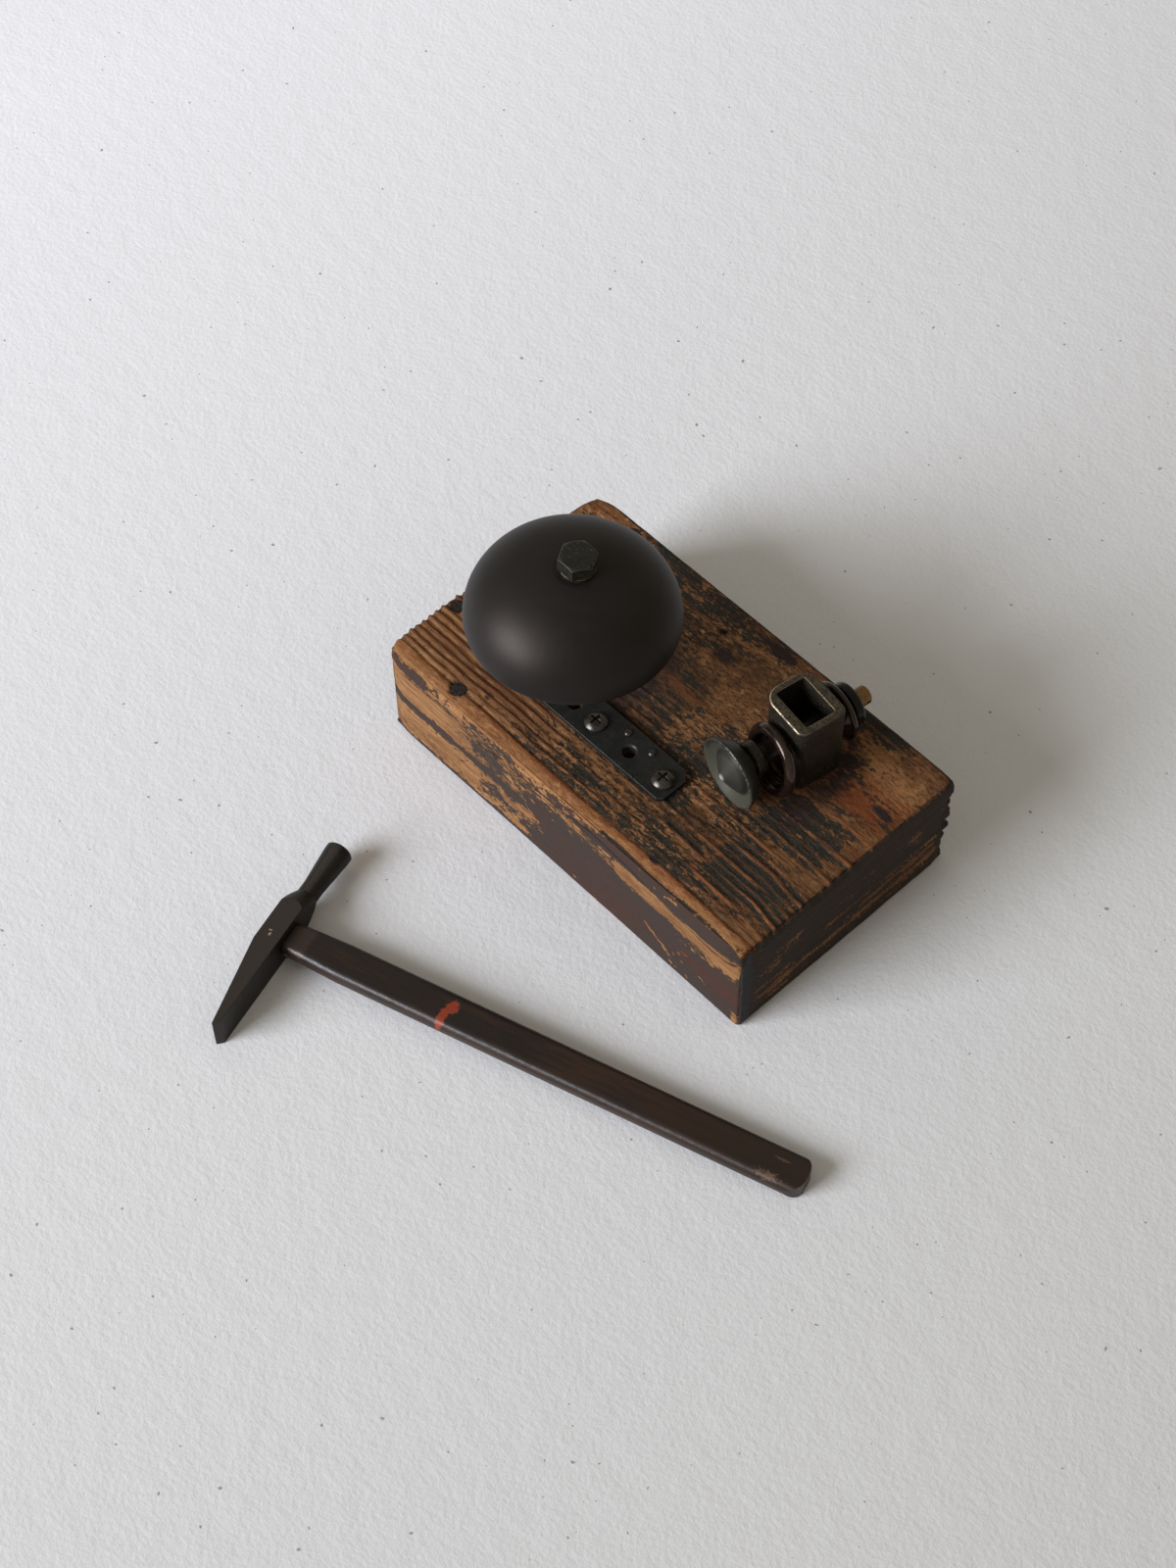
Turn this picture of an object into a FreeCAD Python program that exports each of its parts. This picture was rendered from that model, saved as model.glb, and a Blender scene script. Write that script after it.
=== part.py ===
import FreeCAD, Part
import math
import os

from FreeCAD import Placement, Rotation, Vector

# Bell demonstrator: a gong on a bent steel bracket and a square clamp socket, both screwed
# to an old softwood block, with the small hammer that strikes the gong lying beside it.
# Millimetres. The origin is the centre of the block's underside, +X runs along the grain
# from the gong to the socket, +Y runs across the block and +Z is up.

# ---------------------------------------------------------------- fits between the pieces
running_gap = 0.08          # radial gap of a shaft that turns or slides in its hole
fastener_gap = 0.10         # radial gap round a screw, pin or bolt that is fixed in its hole
seat_gap = 0.30             # gap between faces that part when the clamp screw is loosened

# ---------------------------------------------------------------- wood block and its nails
block_length = 149.7
block_width = 86.6
block_height = 38.0
block_corner_radius = 2.2   # upright corners
block_edge_radius = 1.3     # edges of the top and the underside

# distances from the -X end and from the -Y side, or where negative from the +Y side
nail_insets = ((3.7, 25.6), (27.1, 5.3), (19.8, -3.9))
nail_head_radius = 2.2
nail_head_height = 0.8
nail_head_sink = 0.5        # depth of the head below the wood's surface
nail_shank_radius = 1.2
nail_length = 24.0

# ---------------------------------------------------------------- bent steel bracket
strip_y = -17.6             # centre line of the strip
strip_width = 13.0
strip_thickness = 1.5
strip_end_x = 22.3          # free end of the lower leg
near_clip = 1.5             # corner cut off the free end, on the -Y side
far_clip = 2.8              # the same on the +Y side
arm_length = 18.8           # from the bolt to the upright leg's outer face
bend_radius = 3.0           # inside radius of both bends
arm_droop = 3.0             # degrees that the arm sags towards its free end
arm_rise = 48.4             # from the block up to the arm's top face at the bolt

bolt_x = -19.8              # where the gong's bolt passes the arm's top face
bolt_offset = 1.3           # of the bolt off the strip's centre line
hole_line_offset = -0.7     # the holes of the lower leg lie off its centre line
hole_radius = 2.0
hole_bevel = 0.5
hole_pitch = 13.95
end_to_first_hole = 4.6
hole_uses = ("screw", "spare", "screw")     # from the free end
access_hole_radius = 2.2    # in the lower leg, below the bolt

screw_head_radius = 3.45
screw_head_height = 2.3
screw_head_rim = 0.7        # straight part of the head's side
screw_shank_radius = 1.75
screw_length = 18.0
recess_length = 3.9         # cross recess
recess_width = 0.85
recess_depth = 1.3

pin_offset = 3.6            # the pins lie off the strip's centre line
pin_spread = 4.95           # and on either side of the spare hole
pin_head_radius = 1.25
pin_head_height = 0.9
pin_head_rim = 0.1
pin_shank_radius = 0.7
pin_length = 12.0

# ---------------------------------------------------------------- gong and its bolt
gong_radius = 30.9
gong_height = 21.5
gong_wall = 1.6
gong_flat_margin = 1.0      # of the crown's flat seat beyond the washers
gong_shift_x = -0.4         # the gong has slipped to one side on its bolt
gong_shift_y = -0.75
spacer_length = 12.0
spacer_radius = 4.6
washer_radius = 5.2
washer_thickness = 1.0
bolt_radius = 3.0
hex_across_flats = 10.0
bolt_head_height = 4.6
hex_corner_chamfer = 0.6
nut_height = 5.0
spring_washer_radius = 5.0
spring_washer_thickness = 1.4
spring_washer_slit = 1.0
bolt_tail = 2.0             # thread left showing below the nut

# ---------------------------------------------------------------- square clamp socket
socket_x = 38.0
socket_y = 17.0
socket_turn = -8.7          # degrees from square with the block
socket_height = 26.0
socket_length = 18.6        # along the block
socket_width = 16.4         # across the block
socket_front_radius = 2.4   # upright corners at the +X end
socket_back_radius = 5.2    # upright corners at the -X end
socket_rim_rounding = 0.6   # of the tube's outer edge at the mouth
socket_end_wall = 2.0
socket_side_wall = 3.1
opening_corner_radius = 0.7
socket_floor = 3.0
knob_clearance = 1.1        # of the knob above the block

socket_screw_head_radius = 3.4
socket_screw_head_height = 1.9
socket_screw_shank_radius = 1.9
socket_screw_length = 24.0
slot_width = 0.9
slot_depth = 0.8

# The clamp screw: from the outer flange's seat a shank, a bead, a neck and the knob.
spindle_radius = 2.9
spindle_tail = 5.2          # beyond the end nut
spindle_tip_chamfer = 0.5
spindle_slot_width = 1.0
spindle_slot_depth = 2.2
shank_radius = 3.2
shank_length = 7.1
bead_radius = 5.6
bead_width = 4.0
bead_rounding = 1.1
neck_radius = 4.0
neck_length = 2.2
knob_tang_radius = 3.0
knob_tang_length = 2.6      # of the spindle inside the knob

knob_back_radius = 9.0
knob_face_radius = 11.5
knob_depth = 4.8
knob_lip = 0.8              # width of the raised edge round the face
knob_dish = 0.7             # depth of the dished ring inside the edge
button_radius = 7.1
button_seat_depth = 1.4
button_dome = 3.0

# The outer flange is a loose dished ring. It stands on the block, leans back and sits askew.
outer_hub_radius = 8.6
outer_hub_length = 1.2
outer_rim_radius = 10.0     # to the middle of the rolled rim
outer_rim_roll = 1.3        # radius of the roll
outer_dish_depth = 2.8      # from the hub's back to the middle of the roll
outer_bore_radius = 6.8
outer_lean = 8.0            # degrees
outer_skew = 5.5            # degrees
outer_offset = 2.6          # towards +X from the clamp screw
outer_block_gap = 0.3       # between the rolled rim and the block
outer_rim_reach = 4.7       # of the rolled rim beyond the socket's side
inner_hub_radius = 6.0
inner_hub_length = 1.4
inner_rim_radius = 8.4
inner_rim_roll = 1.0
inner_dish_depth = 3.8
dish_wall = 1.3

end_nut_radius = 6.9
end_nut_length = 3.4
end_nut_rounding = 1.2
end_nut_spigot_gap = 0.3    # between its spigot and the inner flange's dish
end_nut_spigot_length = 4.6

# ---------------------------------------------------------------- hammer
# Its own frame: u along the handle, v along the head towards the poll, on the floor.
hammer_x = -36.0
hammer_y = -112.0
hammer_yaw = 17.5
head_axis_u = -2.4
head_width = 7.0            # along the handle
head_thickness = 12.0
eye_v = -6.9
poll_end_v = 25.8
poll_face_radius = 4.2
poll_face_band = 2.4        # straight edge behind the striking face
poll_chamfer = 0.5
poll_neck_radius = 3.25
poll_neck_v = 11.5          # where the neck is at its thinnest
flare_start_v = 7.4
flare_end_v = -1.6
flare_end_radius = 8.0
peen_start_v = -14.4
peen_tip_v = -44.0
peen_tip_width = 1.8
peen_tip_slope = 1.6        # the tip is cut back by this much on the handle's side

tenon_width = 7.0
tenon_thickness = 4.8
tenon_proud = 0.4
handle_length = 165.0       # from the head's cheek to the rounded end
handle_skew = 1.4           # degrees that the handle is out of square with the head
handle_floor_gap = 0.2      # below the handle's far end
shoulder_gap = 0.25         # between the handle's shoulder and the cheek
grip_start_width = 10.4
grip_width = 12.0
grip_thickness = 5.8
grip_full_length = 18.0     # where the handle has reached its full width
handle_edge_radius = 2.4
handle_end_radius = 4.6
wedge_length = 4.4
wedge_width = 0.9
wedge_depth = 5.0
handle_pin_radius = 0.7
handle_pin_head_radius = 1.1
handle_pin_head_height = 0.5
handle_pin_seat = 0.05      # between the pin's head and the handle's side
handle_pin_offset = 1.6     # from the cheek
handle_pin_depth = 6.0

# ---------------------------------------------------------------- sizes worked out from these
block_top = block_height
strip_top = block_top + strip_thickness
hole_y = strip_y + hole_line_offset
strip_holes_x = [strip_end_x - end_to_first_hole - i * hole_pitch for i in range(len(hole_uses))]
screw_holes_x = [x for x, use in zip(strip_holes_x, hole_uses) if use == "screw"]
spare_holes_x = [x for x, use in zip(strip_holes_x, hole_uses) if use == "spare"]
pin_places_x = [x + side * pin_spread for x in spare_holes_x for side in (-1, 1)]
pin_y = strip_y + pin_offset
arm_top = block_top + arm_rise
riser_x = bolt_x - arm_length
outer_bend = bend_radius + strip_thickness
bolt_y = strip_y + bolt_offset
bolt_hole = bolt_radius + fastener_gap
gong_hole = bolt_hole + math.hypot(gong_shift_x, gong_shift_y)
gong_flat_radius = washer_radius + gong_flat_margin
ellipse_share = math.sqrt(1 - (gong_flat_radius / gong_radius) ** 2)
inner_ellipse_share = math.sqrt(1 - (gong_flat_radius / (gong_radius - gong_wall)) ** 2)
crown_top = gong_height * ellipse_share
crown_under = (gong_height - gong_wall) * inner_ellipse_share
gong_rim = spacer_length + washer_thickness - crown_under
gong_crown = gong_rim + crown_top
opening_length = socket_length - 2 * socket_end_wall
opening_width = socket_width - 2 * socket_side_wall
spindle_height = knob_face_radius + knob_clearance
spindle_z = block_top + spindle_height
rod_bore = spindle_radius + running_gap
socket_side = socket_width / 2
outer_seat = socket_side + seat_gap
outer_drop = outer_rim_radius * math.cos(math.radians(outer_lean)) + outer_rim_roll
outer_height = outer_block_gap + outer_drop
outer_centre = socket_side + outer_rim_reach
bead_start = outer_seat + shank_length
knob_back = bead_start + bead_width + neck_length
end_nut_start = socket_side + inner_hub_length
end_nut_face = end_nut_start + end_nut_spigot_length
end_nut_end = end_nut_face + end_nut_length
end_nut_spigot_radius = inner_hub_radius - dish_wall - end_nut_spigot_gap
spindle_reach = end_nut_end + spindle_tail
head_middle = head_thickness / 2
cheek_u = head_axis_u + head_width / 2
handle_drop = head_middle - grip_thickness / 2 - handle_floor_gap
handle_droop = math.degrees(math.asin(handle_drop / handle_length))

up = Vector(0, 0, 1)
far = block_length          # longer than any piece that is trimmed with it
overshoot = 1.0             # of a cutting shape past the face it cuts
tiny = 1e-6                 # two lengths this close are the same


# ---------------------------------------------------------------- shapes used by many pieces
def rod(radius, bottom, top, x=0, y=0):
    return Part.makeCylinder(radius, top - bottom, Vector(x, y, bottom))


def ring(outer, inner, bottom, top):
    return rod(outer, bottom, top).cut(rod(inner, bottom, top))


def centred_box(length, width, bottom, top, x=0, y=0):
    corner = Vector(x - length / 2, y - width / 2, bottom)
    return Part.makeBox(length, width, top - bottom, corner)


def outline_face(points):
    # a closed outline of (radius, height) pairs in the XZ plane
    corners = [Vector(r, 0, z) for r, z in points]
    return Part.Face(Part.makePolygon(corners + corners[:1]))


def turned(points):
    return outline_face(points).revolve(Vector(), up, 360)


def level_edges(shape):
    ends = [(e, e.Vertexes[0].Point.z, e.Vertexes[-1].Point.z) for e in shape.Edges]
    return [edge for edge, first, last in ends if abs(first - last) < tiny]


def domed(radius, rim, height):
    # a flat-bottomed head with a straight rim and a spherical top, standing on Z = 0
    rise = height - rim
    sphere = (radius ** 2 + rise ** 2) / (2 * rise)
    half = math.asin(radius / sphere) / 2
    corner = Vector(radius, 0, rim)
    top = Vector(0, 0, height)
    shoulder = Vector(sphere * math.sin(half), 0, height - sphere + sphere * math.cos(half))
    edges = [
        Part.makeLine(Vector(), Vector(radius, 0, 0)),
        Part.makeLine(Vector(radius, 0, 0), corner),
        Part.Arc(corner, shoulder, top).toShape(),
        Part.makeLine(top, Vector()),
    ]
    return Part.Face(Part.Wire(edges)).revolve(Vector(), up, 360)


def upright_edges(shape, x_test):
    # the straight edges along Z whose X passes the test
    found = []
    for edge in shape.Edges:
        first, last = edge.Vertexes[0].Point, edge.Vertexes[-1].Point
        level = abs(first.x - last.x) + abs(first.y - last.y)
        if level < tiny and abs(first.z - last.z) > tiny and x_test(first.x):
            found.append(edge)
    return found


def hexagon(across_flats, bottom, top):
    corner = across_flats / math.sqrt(3)
    angles = [math.radians(60 * i) for i in range(7)]
    outline = [Vector(corner * math.cos(a), corner * math.sin(a), bottom) for a in angles]
    return Part.Face(Part.makePolygon(outline)).extrude(Vector(0, 0, top - bottom))


def chamfered_hexagon(across_flats, bottom, top, chamfer):
    # the top's six corners are turned off by a cone
    corner = across_flats / math.sqrt(3)
    shoulder = corner - chamfer * math.sqrt(3)
    cone = turned([(0, bottom), (corner, bottom), (corner, top - chamfer), (shoulder, top), (0, top)])
    return hexagon(across_flats, bottom, top).common(cone)


def bent_path(points, radius):
    # straight lines through the points, with each inner corner rounded
    edges = []
    start = points[0]
    for before, corner, after in zip(points, points[1:], points[2:]):
        back = (before - corner).normalize()
        ahead = (after - corner).normalize()
        half = back.getAngle(ahead) / 2
        reach = radius / math.tan(half)
        middle = (back + ahead).normalize()
        centre = corner + middle * (radius / math.sin(half))
        first, last = corner + back * reach, corner + ahead * reach
        edges.append(Part.makeLine(start, first))
        edges.append(Part.Arc(first, centre - middle * radius, last).toShape())
        start = last
    edges.append(Part.makeLine(start, points[-1]))
    return Part.Wire(edges)


def placed(shape, place):
    moved = shape.copy()
    moved.Placement = place.multiply(moved.Placement)
    return moved


def on_arm(shape):
    # from the bolt's frame, whose origin is on the arm's top face, to the part's frame
    return placed(shape, Placement(Vector(bolt_x, bolt_y, arm_top), Rotation(Vector(0, 1, 0), arm_droop)))


def on_socket(shape):
    return placed(shape, Placement(Vector(socket_x, socket_y, block_top), Rotation(up, socket_turn)))


def on_spindle(shape, side):
    # side -1 points out of the knob's side of the socket, +1 out of the end nut's side
    along = Rotation(up, socket_turn).multVec(Vector(1, 0, 0))
    outwards = Rotation(up, socket_turn).multVec(Vector(0, side, 0))
    turn = Rotation(along, outwards.cross(along), outwards, "ZXY")
    return placed(shape, Placement(Vector(socket_x, socket_y, spindle_z), turn))


def on_hammer(shape):
    return placed(shape, Placement(Vector(hammer_x, hammer_y, 0), Rotation(up, hammer_yaw)))


def in_handle(shape):
    # from the handle's frame, along u from the eye, to the hammer's frame
    slope = Rotation(Vector(0, 1, 0), handle_droop)
    skew = Rotation(up, handle_skew)
    return placed(shape, Placement(Vector(cheek_u, eye_v, head_middle), skew.multiply(slope)))


# ---------------------------------------------------------------- block
def wood_block():
    body = centred_box(block_length, block_width, 0, block_height)
    body = body.makeFillet(block_corner_radius, upright_edges(body, lambda x: True))
    body = body.makeFillet(block_edge_radius, level_edges(body))
    for x in screw_holes_x:
        body = body.cut(pilot(screw_shank_radius, screw_length - strip_thickness, x, hole_y))
    for x in pin_places_x:
        body = body.cut(pilot(pin_shank_radius, pin_length - strip_thickness, x, pin_y))
    for x, y in nail_places():
        floor = block_top - nail_head_sink - nail_head_height
        body = body.cut(rod(nail_head_radius + fastener_gap, floor, block_top + overshoot, x, y))
        body = body.cut(pilot(nail_shank_radius, nail_length + nail_head_sink, x, y))
    depth = socket_screw_length - socket_floor
    return body.cut(pilot(socket_screw_shank_radius, depth, socket_x, socket_y))


def pilot(shank, depth, x, y):
    return rod(shank + fastener_gap, block_top - depth - fastener_gap, block_top + overshoot, x, y)


def nail_places():
    places = []
    for from_end, from_side in nail_insets:
        edge = block_width / 2 if from_side < 0 else -block_width / 2
        places.append((from_end - block_length / 2, edge + from_side))
    return places


def block_nails():
    nails = []
    for x, y in nail_places():
        top = block_top - nail_head_sink
        under = top - nail_head_height
        shank = rod(nail_shank_radius, top - nail_length, under, x, y)
        nails.append(rod(nail_head_radius, under, top, x, y).fuse(shank).removeSplitter())
    return Part.makeCompound(nails)


# ---------------------------------------------------------------- bracket
def bell_bracket():
    slope = math.tan(math.radians(arm_droop))
    free_x = bolt_x + strip_width
    path = bent_path([
        Vector(strip_end_x, 0, block_top),
        Vector(riser_x, 0, block_top),
        Vector(riser_x, 0, arm_top + (bolt_x - riser_x) * slope),
        Vector(free_x, 0, arm_top - (free_x - bolt_x) * slope),
    ], outer_bend)
    side = path.makeOffset2D(strip_thickness, 0, True, True)
    if side.BoundBox.ZMin < block_top - strip_thickness / 2:
        side = path.makeOffset2D(-strip_thickness, 0, True, True)
    strap = side.extrude(Vector(0, strip_width, 0))
    strap.translate(Vector(0, strip_y - strip_width / 2, 0))
    strap = strap.cut(on_arm(arm_end_cutter()))
    strap = strap.cut(on_arm(rod(bolt_hole, -2 * strip_thickness, strip_thickness)))
    for x in strip_holes_x:
        strap = strap.cut(bevelled_hole(hole_radius, x, hole_y))
    strap = strap.cut(bevelled_hole(access_hole_radius, bolt_x, strip_y))
    for x in pin_places_x:
        strap = strap.cut(through_strip(pin_shank_radius + fastener_gap, x, pin_y))
    strap = strap.cut(corner_cutter(near_clip, -1))
    return strap.cut(corner_cutter(far_clip, 1))


def arm_end_cutter():
    # what lies beyond the arm's half-round end
    reach = strip_width / 2
    depth = 2 * strip_thickness
    beyond = Part.makeBox(far, 2 * strip_width, 2 * depth, Vector(0, -strip_width, -depth))
    return beyond.cut(rod(reach, -depth, depth)).translated(Vector(0, -bolt_offset, 0))


def through_strip(radius, x, y):
    return rod(radius, block_top - overshoot, strip_top + overshoot, x, y)


def bevelled_hole(radius, x, y):
    bevel = Part.makeCone(radius, radius + hole_bevel, hole_bevel, Vector(x, y, strip_top - hole_bevel))
    return through_strip(radius, x, y).fuse(bevel)


def corner_cutter(clip, side):
    # a three-cornered prism at the free end, on the -Y (-1) or +Y (+1) side
    edge_y = strip_y + side * strip_width / 2
    bottom = block_top - overshoot
    corners = [
        Vector(strip_end_x - clip, edge_y, bottom),
        Vector(strip_end_x + overshoot, edge_y - side * (clip + overshoot), bottom),
        Vector(strip_end_x + overshoot, edge_y + side * overshoot, bottom),
        Vector(strip_end_x - clip, edge_y + side * overshoot, bottom),
    ]
    face = Part.Face(Part.makePolygon(corners + corners[:1]))
    return face.extrude(Vector(0, 0, strip_thickness + 2 * overshoot))


def cross_recess(top):
    bottom = top - recess_depth
    arm = centred_box(recess_length, recess_width, bottom, top + overshoot)
    other = centred_box(recess_width, recess_length, bottom, top + overshoot)
    return arm.fuse(other)


def bracket_screws():
    head = domed(screw_head_radius, screw_head_rim, screw_head_height).cut(cross_recess(screw_head_height))
    screw = head.fuse(rod(screw_shank_radius, -screw_length, 0)).removeSplitter()
    return Part.makeCompound([screw.translated(Vector(x, hole_y, strip_top)) for x in screw_holes_x])


def bracket_pins():
    pin = domed(pin_head_radius, pin_head_rim, pin_head_height)
    pin = pin.fuse(rod(pin_shank_radius, -pin_length, 0)).removeSplitter()
    return Part.makeCompound([pin.translated(Vector(x, pin_y, strip_top)) for x in pin_places_x])


# ---------------------------------------------------------------- gong and bolt, in the bolt's frame
def gong_curve(radius, height, rim):
    # quarter of an ellipse from the rim up to the edge of the flat crown
    upright = Placement(Vector(0, 0, rim), Rotation(Vector(1, 0, 0), 90))
    wide = radius > height
    ellipse = Part.Ellipse(Vector(), max(radius, height), min(radius, height))
    flat = math.acos(gong_flat_radius / radius)
    if wide:
        curve = Part.ArcOfEllipse(ellipse, 0, flat).toShape()
    else:
        curve = Part.ArcOfEllipse(ellipse, -math.pi / 2, -math.pi / 2 + flat).toShape()
        curve.rotate(Vector(), up, 90)
    curve.Placement = upright.multiply(curve.Placement)
    return curve


def bell_gong():
    inner_radius, inner_height = gong_radius - gong_wall, gong_height - gong_wall
    under, top = gong_rim + crown_under, gong_crown
    edges = [
        gong_curve(gong_radius, gong_height, gong_rim),
        Part.makeLine(Vector(gong_flat_radius, 0, top), Vector(gong_hole, 0, top)),
        Part.makeLine(Vector(gong_hole, 0, top), Vector(gong_hole, 0, under)),
        Part.makeLine(Vector(gong_hole, 0, under), Vector(gong_flat_radius, 0, under)),
        gong_curve(inner_radius, inner_height, gong_rim),
        Part.makeLine(Vector(inner_radius, 0, gong_rim), Vector(gong_radius, 0, gong_rim)),
    ]
    gong = Part.Face(Part.Wire(edges)).revolve(Vector(), up, 360)
    return on_arm(gong.translated(Vector(gong_shift_x, gong_shift_y, 0)))


def bell_bolt():
    seat = gong_crown + washer_thickness
    head = chamfered_hexagon(hex_across_flats, seat, seat + bolt_head_height, hex_corner_chamfer)
    end = -strip_thickness - spring_washer_thickness - nut_height - bolt_tail
    return on_arm(head.fuse(rod(bolt_radius, end, seat)).removeSplitter())


def bell_top_washer():
    return on_arm(ring(washer_radius, bolt_hole, gong_crown, gong_crown + washer_thickness))


def bell_seat_washer():
    return on_arm(ring(washer_radius, bolt_hole, spacer_length, spacer_length + washer_thickness))


def bell_spacer():
    return on_arm(ring(spacer_radius, bolt_hole, 0, spacer_length))


def bell_spring_washer():
    top = -strip_thickness
    coil = ring(spring_washer_radius, bolt_hole, top - spring_washer_thickness, top)
    slit = Part.makeBox(far, spring_washer_slit, far, Vector(0, -spring_washer_slit / 2, top - far / 2))
    return on_arm(coil.cut(slit))


def bell_nut():
    top = -strip_thickness - spring_washer_thickness
    body = hexagon(hex_across_flats, top - nut_height, top)
    return on_arm(body.cut(rod(bolt_hole, top - nut_height, top)))


# ---------------------------------------------------------------- socket, in its own frame
def socket_tube():
    body = centred_box(socket_length, socket_width, 0, socket_height)
    body = body.makeFillet(socket_front_radius, upright_edges(body, lambda x: x > 0))
    back = -socket_length / 2 + tiny
    body = body.makeFillet(socket_back_radius, upright_edges(body, lambda x: x < back))
    rim = [edge for edge in level_edges(body) if edge.Vertexes[0].Point.z > socket_height / 2]
    body = body.makeFillet(socket_rim_rounding, rim)
    opening = centred_box(opening_length, opening_width, socket_floor, socket_height + overshoot)
    opening = opening.makeFillet(opening_corner_radius, upright_edges(opening, lambda x: True))
    body = body.cut(opening)
    body = body.cut(countersunk(fastener_gap, -overshoot))
    cross_hole = Part.makeCylinder(rod_bore, far, Vector(0, -far / 2, spindle_height), Vector(0, 1, 0))
    return on_socket(body.cut(cross_hole))


def countersunk(gap, bottom):
    # the screw's shape down to the given height, and with a gap the hole that takes it
    shank_radius, head_radius = socket_screw_shank_radius + gap, socket_screw_head_radius + gap
    under = socket_floor - socket_screw_head_height
    head = Part.makeCone(shank_radius, head_radius, socket_screw_head_height, Vector(0, 0, under))
    return head.fuse(rod(shank_radius, bottom, under)).removeSplitter()


def socket_screw():
    slot = centred_box(far, slot_width, socket_floor - slot_depth, socket_floor + overshoot)
    return on_socket(countersunk(0, socket_floor - socket_screw_length).cut(slot))


def dished_washer(seat, bore, hub_radius, hub_length, rim_radius, roll, depth):
    # a hub, a dished wall and a rolled rim, opening outwards
    rim_height = seat + depth
    wall = outline_face([
        (bore, seat),
        (hub_radius, seat),
        (rim_radius + roll / 2, rim_height - roll / 2),
        (rim_radius, rim_height),
        (hub_radius - dish_wall, seat + hub_length),
        (bore, seat + hub_length),
    ])
    rim = Part.Face(Part.Wire(Part.makeCircle(roll, Vector(rim_radius, 0, rim_height), Vector(0, 1, 0))))
    dish, rolled = wall.revolve(Vector(), up, 360), rim.revolve(Vector(), up, 360)
    return dish.fuse(rolled).removeSplitter()


def outer_flange():
    # made round the middle of its rolled rim, then leant and turned there
    ring_shape = dished_washer(
        -outer_dish_depth, outer_bore_radius, outer_hub_radius, outer_hub_length,
        outer_rim_radius, outer_rim_roll, outer_dish_depth)
    lean = Rotation(Vector(1, 0, 0), -outer_lean)
    askew = Rotation(Vector(0, 1, 0), -outer_skew)
    middle = Vector(outer_offset, outer_height - spindle_height, outer_centre)
    return on_spindle(placed(ring_shape, Placement(middle, askew.multiply(lean))), -1)


def inner_flange():
    return on_spindle(dished_washer(
        socket_side, rod_bore, inner_hub_radius, inner_hub_length,
        inner_rim_radius, inner_rim_roll, inner_dish_depth), 1)


def end_nut():
    body = rod(end_nut_radius, end_nut_face, end_nut_end)
    body = body.makeFillet(end_nut_rounding, level_edges(body))
    spigot = rod(end_nut_spigot_radius, end_nut_start, end_nut_face + end_nut_rounding)
    body = body.fuse(spigot).removeSplitter()
    return on_spindle(body.cut(rod(rod_bore, end_nut_start - overshoot, end_nut_end + overshoot)), 1)


# ---------------------------------------------------------------- clamp screw, heights are outwards
def clamp_screw():
    bead_end = bead_start + bead_width
    bead = rod(bead_radius, bead_start, bead_end)
    bead = bead.makeFillet(bead_rounding, level_edges(bead))
    steps = [
        rod(knob_tang_radius, knob_back, knob_back + knob_tang_length),
        rod(neck_radius, bead_end - bead_rounding, knob_back),
        rod(shank_radius, outer_seat, bead_start + bead_rounding),
        rod(spindle_radius, spindle_tip_chamfer - spindle_reach, outer_seat),
        Part.makeCone(
            spindle_radius - spindle_tip_chamfer, spindle_radius, spindle_tip_chamfer,
            Vector(0, 0, -spindle_reach)),
    ]
    screw = bead.multiFuse(steps).removeSplitter()
    slot_bottom = -spindle_reach + spindle_slot_depth
    slot = centred_box(far, spindle_slot_width, -spindle_reach - overshoot, slot_bottom)
    return on_spindle(screw.cut(slot), -1)


def clamp_knob():
    face = knob_back + knob_depth
    floor = face - knob_dish
    seat = floor - button_seat_depth
    body = turned([
        (0, knob_back),
        (knob_back_radius, knob_back),
        (knob_face_radius, face - knob_lip),
        (knob_face_radius - knob_lip / 2, face),
        (knob_face_radius - knob_lip, face),
        (button_radius + fastener_gap, floor),
        (button_radius + fastener_gap, seat),
        (0, seat),
    ])
    return on_spindle(body.cut(rod(knob_tang_radius + fastener_gap, 0, seat + fastener_gap)), -1)


def knob_button():
    seat = knob_back + knob_depth - knob_dish - button_seat_depth
    button = domed(button_radius, button_seat_depth, button_seat_depth + button_dome)
    tang_end = knob_back + knob_tang_length + fastener_gap
    button.translate(Vector(0, 0, seat))
    return on_spindle(button.cut(rod(knob_tang_radius + fastener_gap, 0, tang_end)), -1)


# ---------------------------------------------------------------- hammer
def hammer_head():
    low_u, high_u = head_axis_u - head_width / 2, cheek_u
    plan = [
        Vector(low_u, flare_start_v, 0),
        Vector(low_u, peen_start_v, 0),
        Vector(high_u - peen_tip_width, peen_tip_v, 0),
        Vector(high_u, peen_tip_v + peen_tip_slope, 0),
        Vector(high_u, flare_start_v, 0),
    ]
    body = Part.Face(Part.makePolygon(plan + plan[:1])).extrude(Vector(0, 0, head_thickness))
    along_v = Placement(Vector(head_axis_u, 0, head_middle), Rotation(Vector(1, 0, 0), -90))
    body_limit = placed(turned([
        (0, flare_start_v),
        (poll_neck_radius, flare_start_v),
        (flare_end_radius, flare_end_v),
        (far, flare_end_v - far),
        (0, flare_end_v - far),
    ]), along_v)
    poll = placed(turned([
        (0, flare_end_v),
        (poll_neck_radius, flare_end_v),
        (poll_neck_radius, poll_neck_v),
        (poll_face_radius, poll_end_v - poll_face_band),
        (poll_face_radius, poll_end_v - poll_chamfer),
        (poll_face_radius - poll_chamfer, poll_end_v),
        (0, poll_end_v),
    ]), along_v)
    head = body.common(body_limit).fuse(poll).removeSplitter()
    return on_hammer(head.cut(in_handle(tenon(fastener_gap))))


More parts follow.
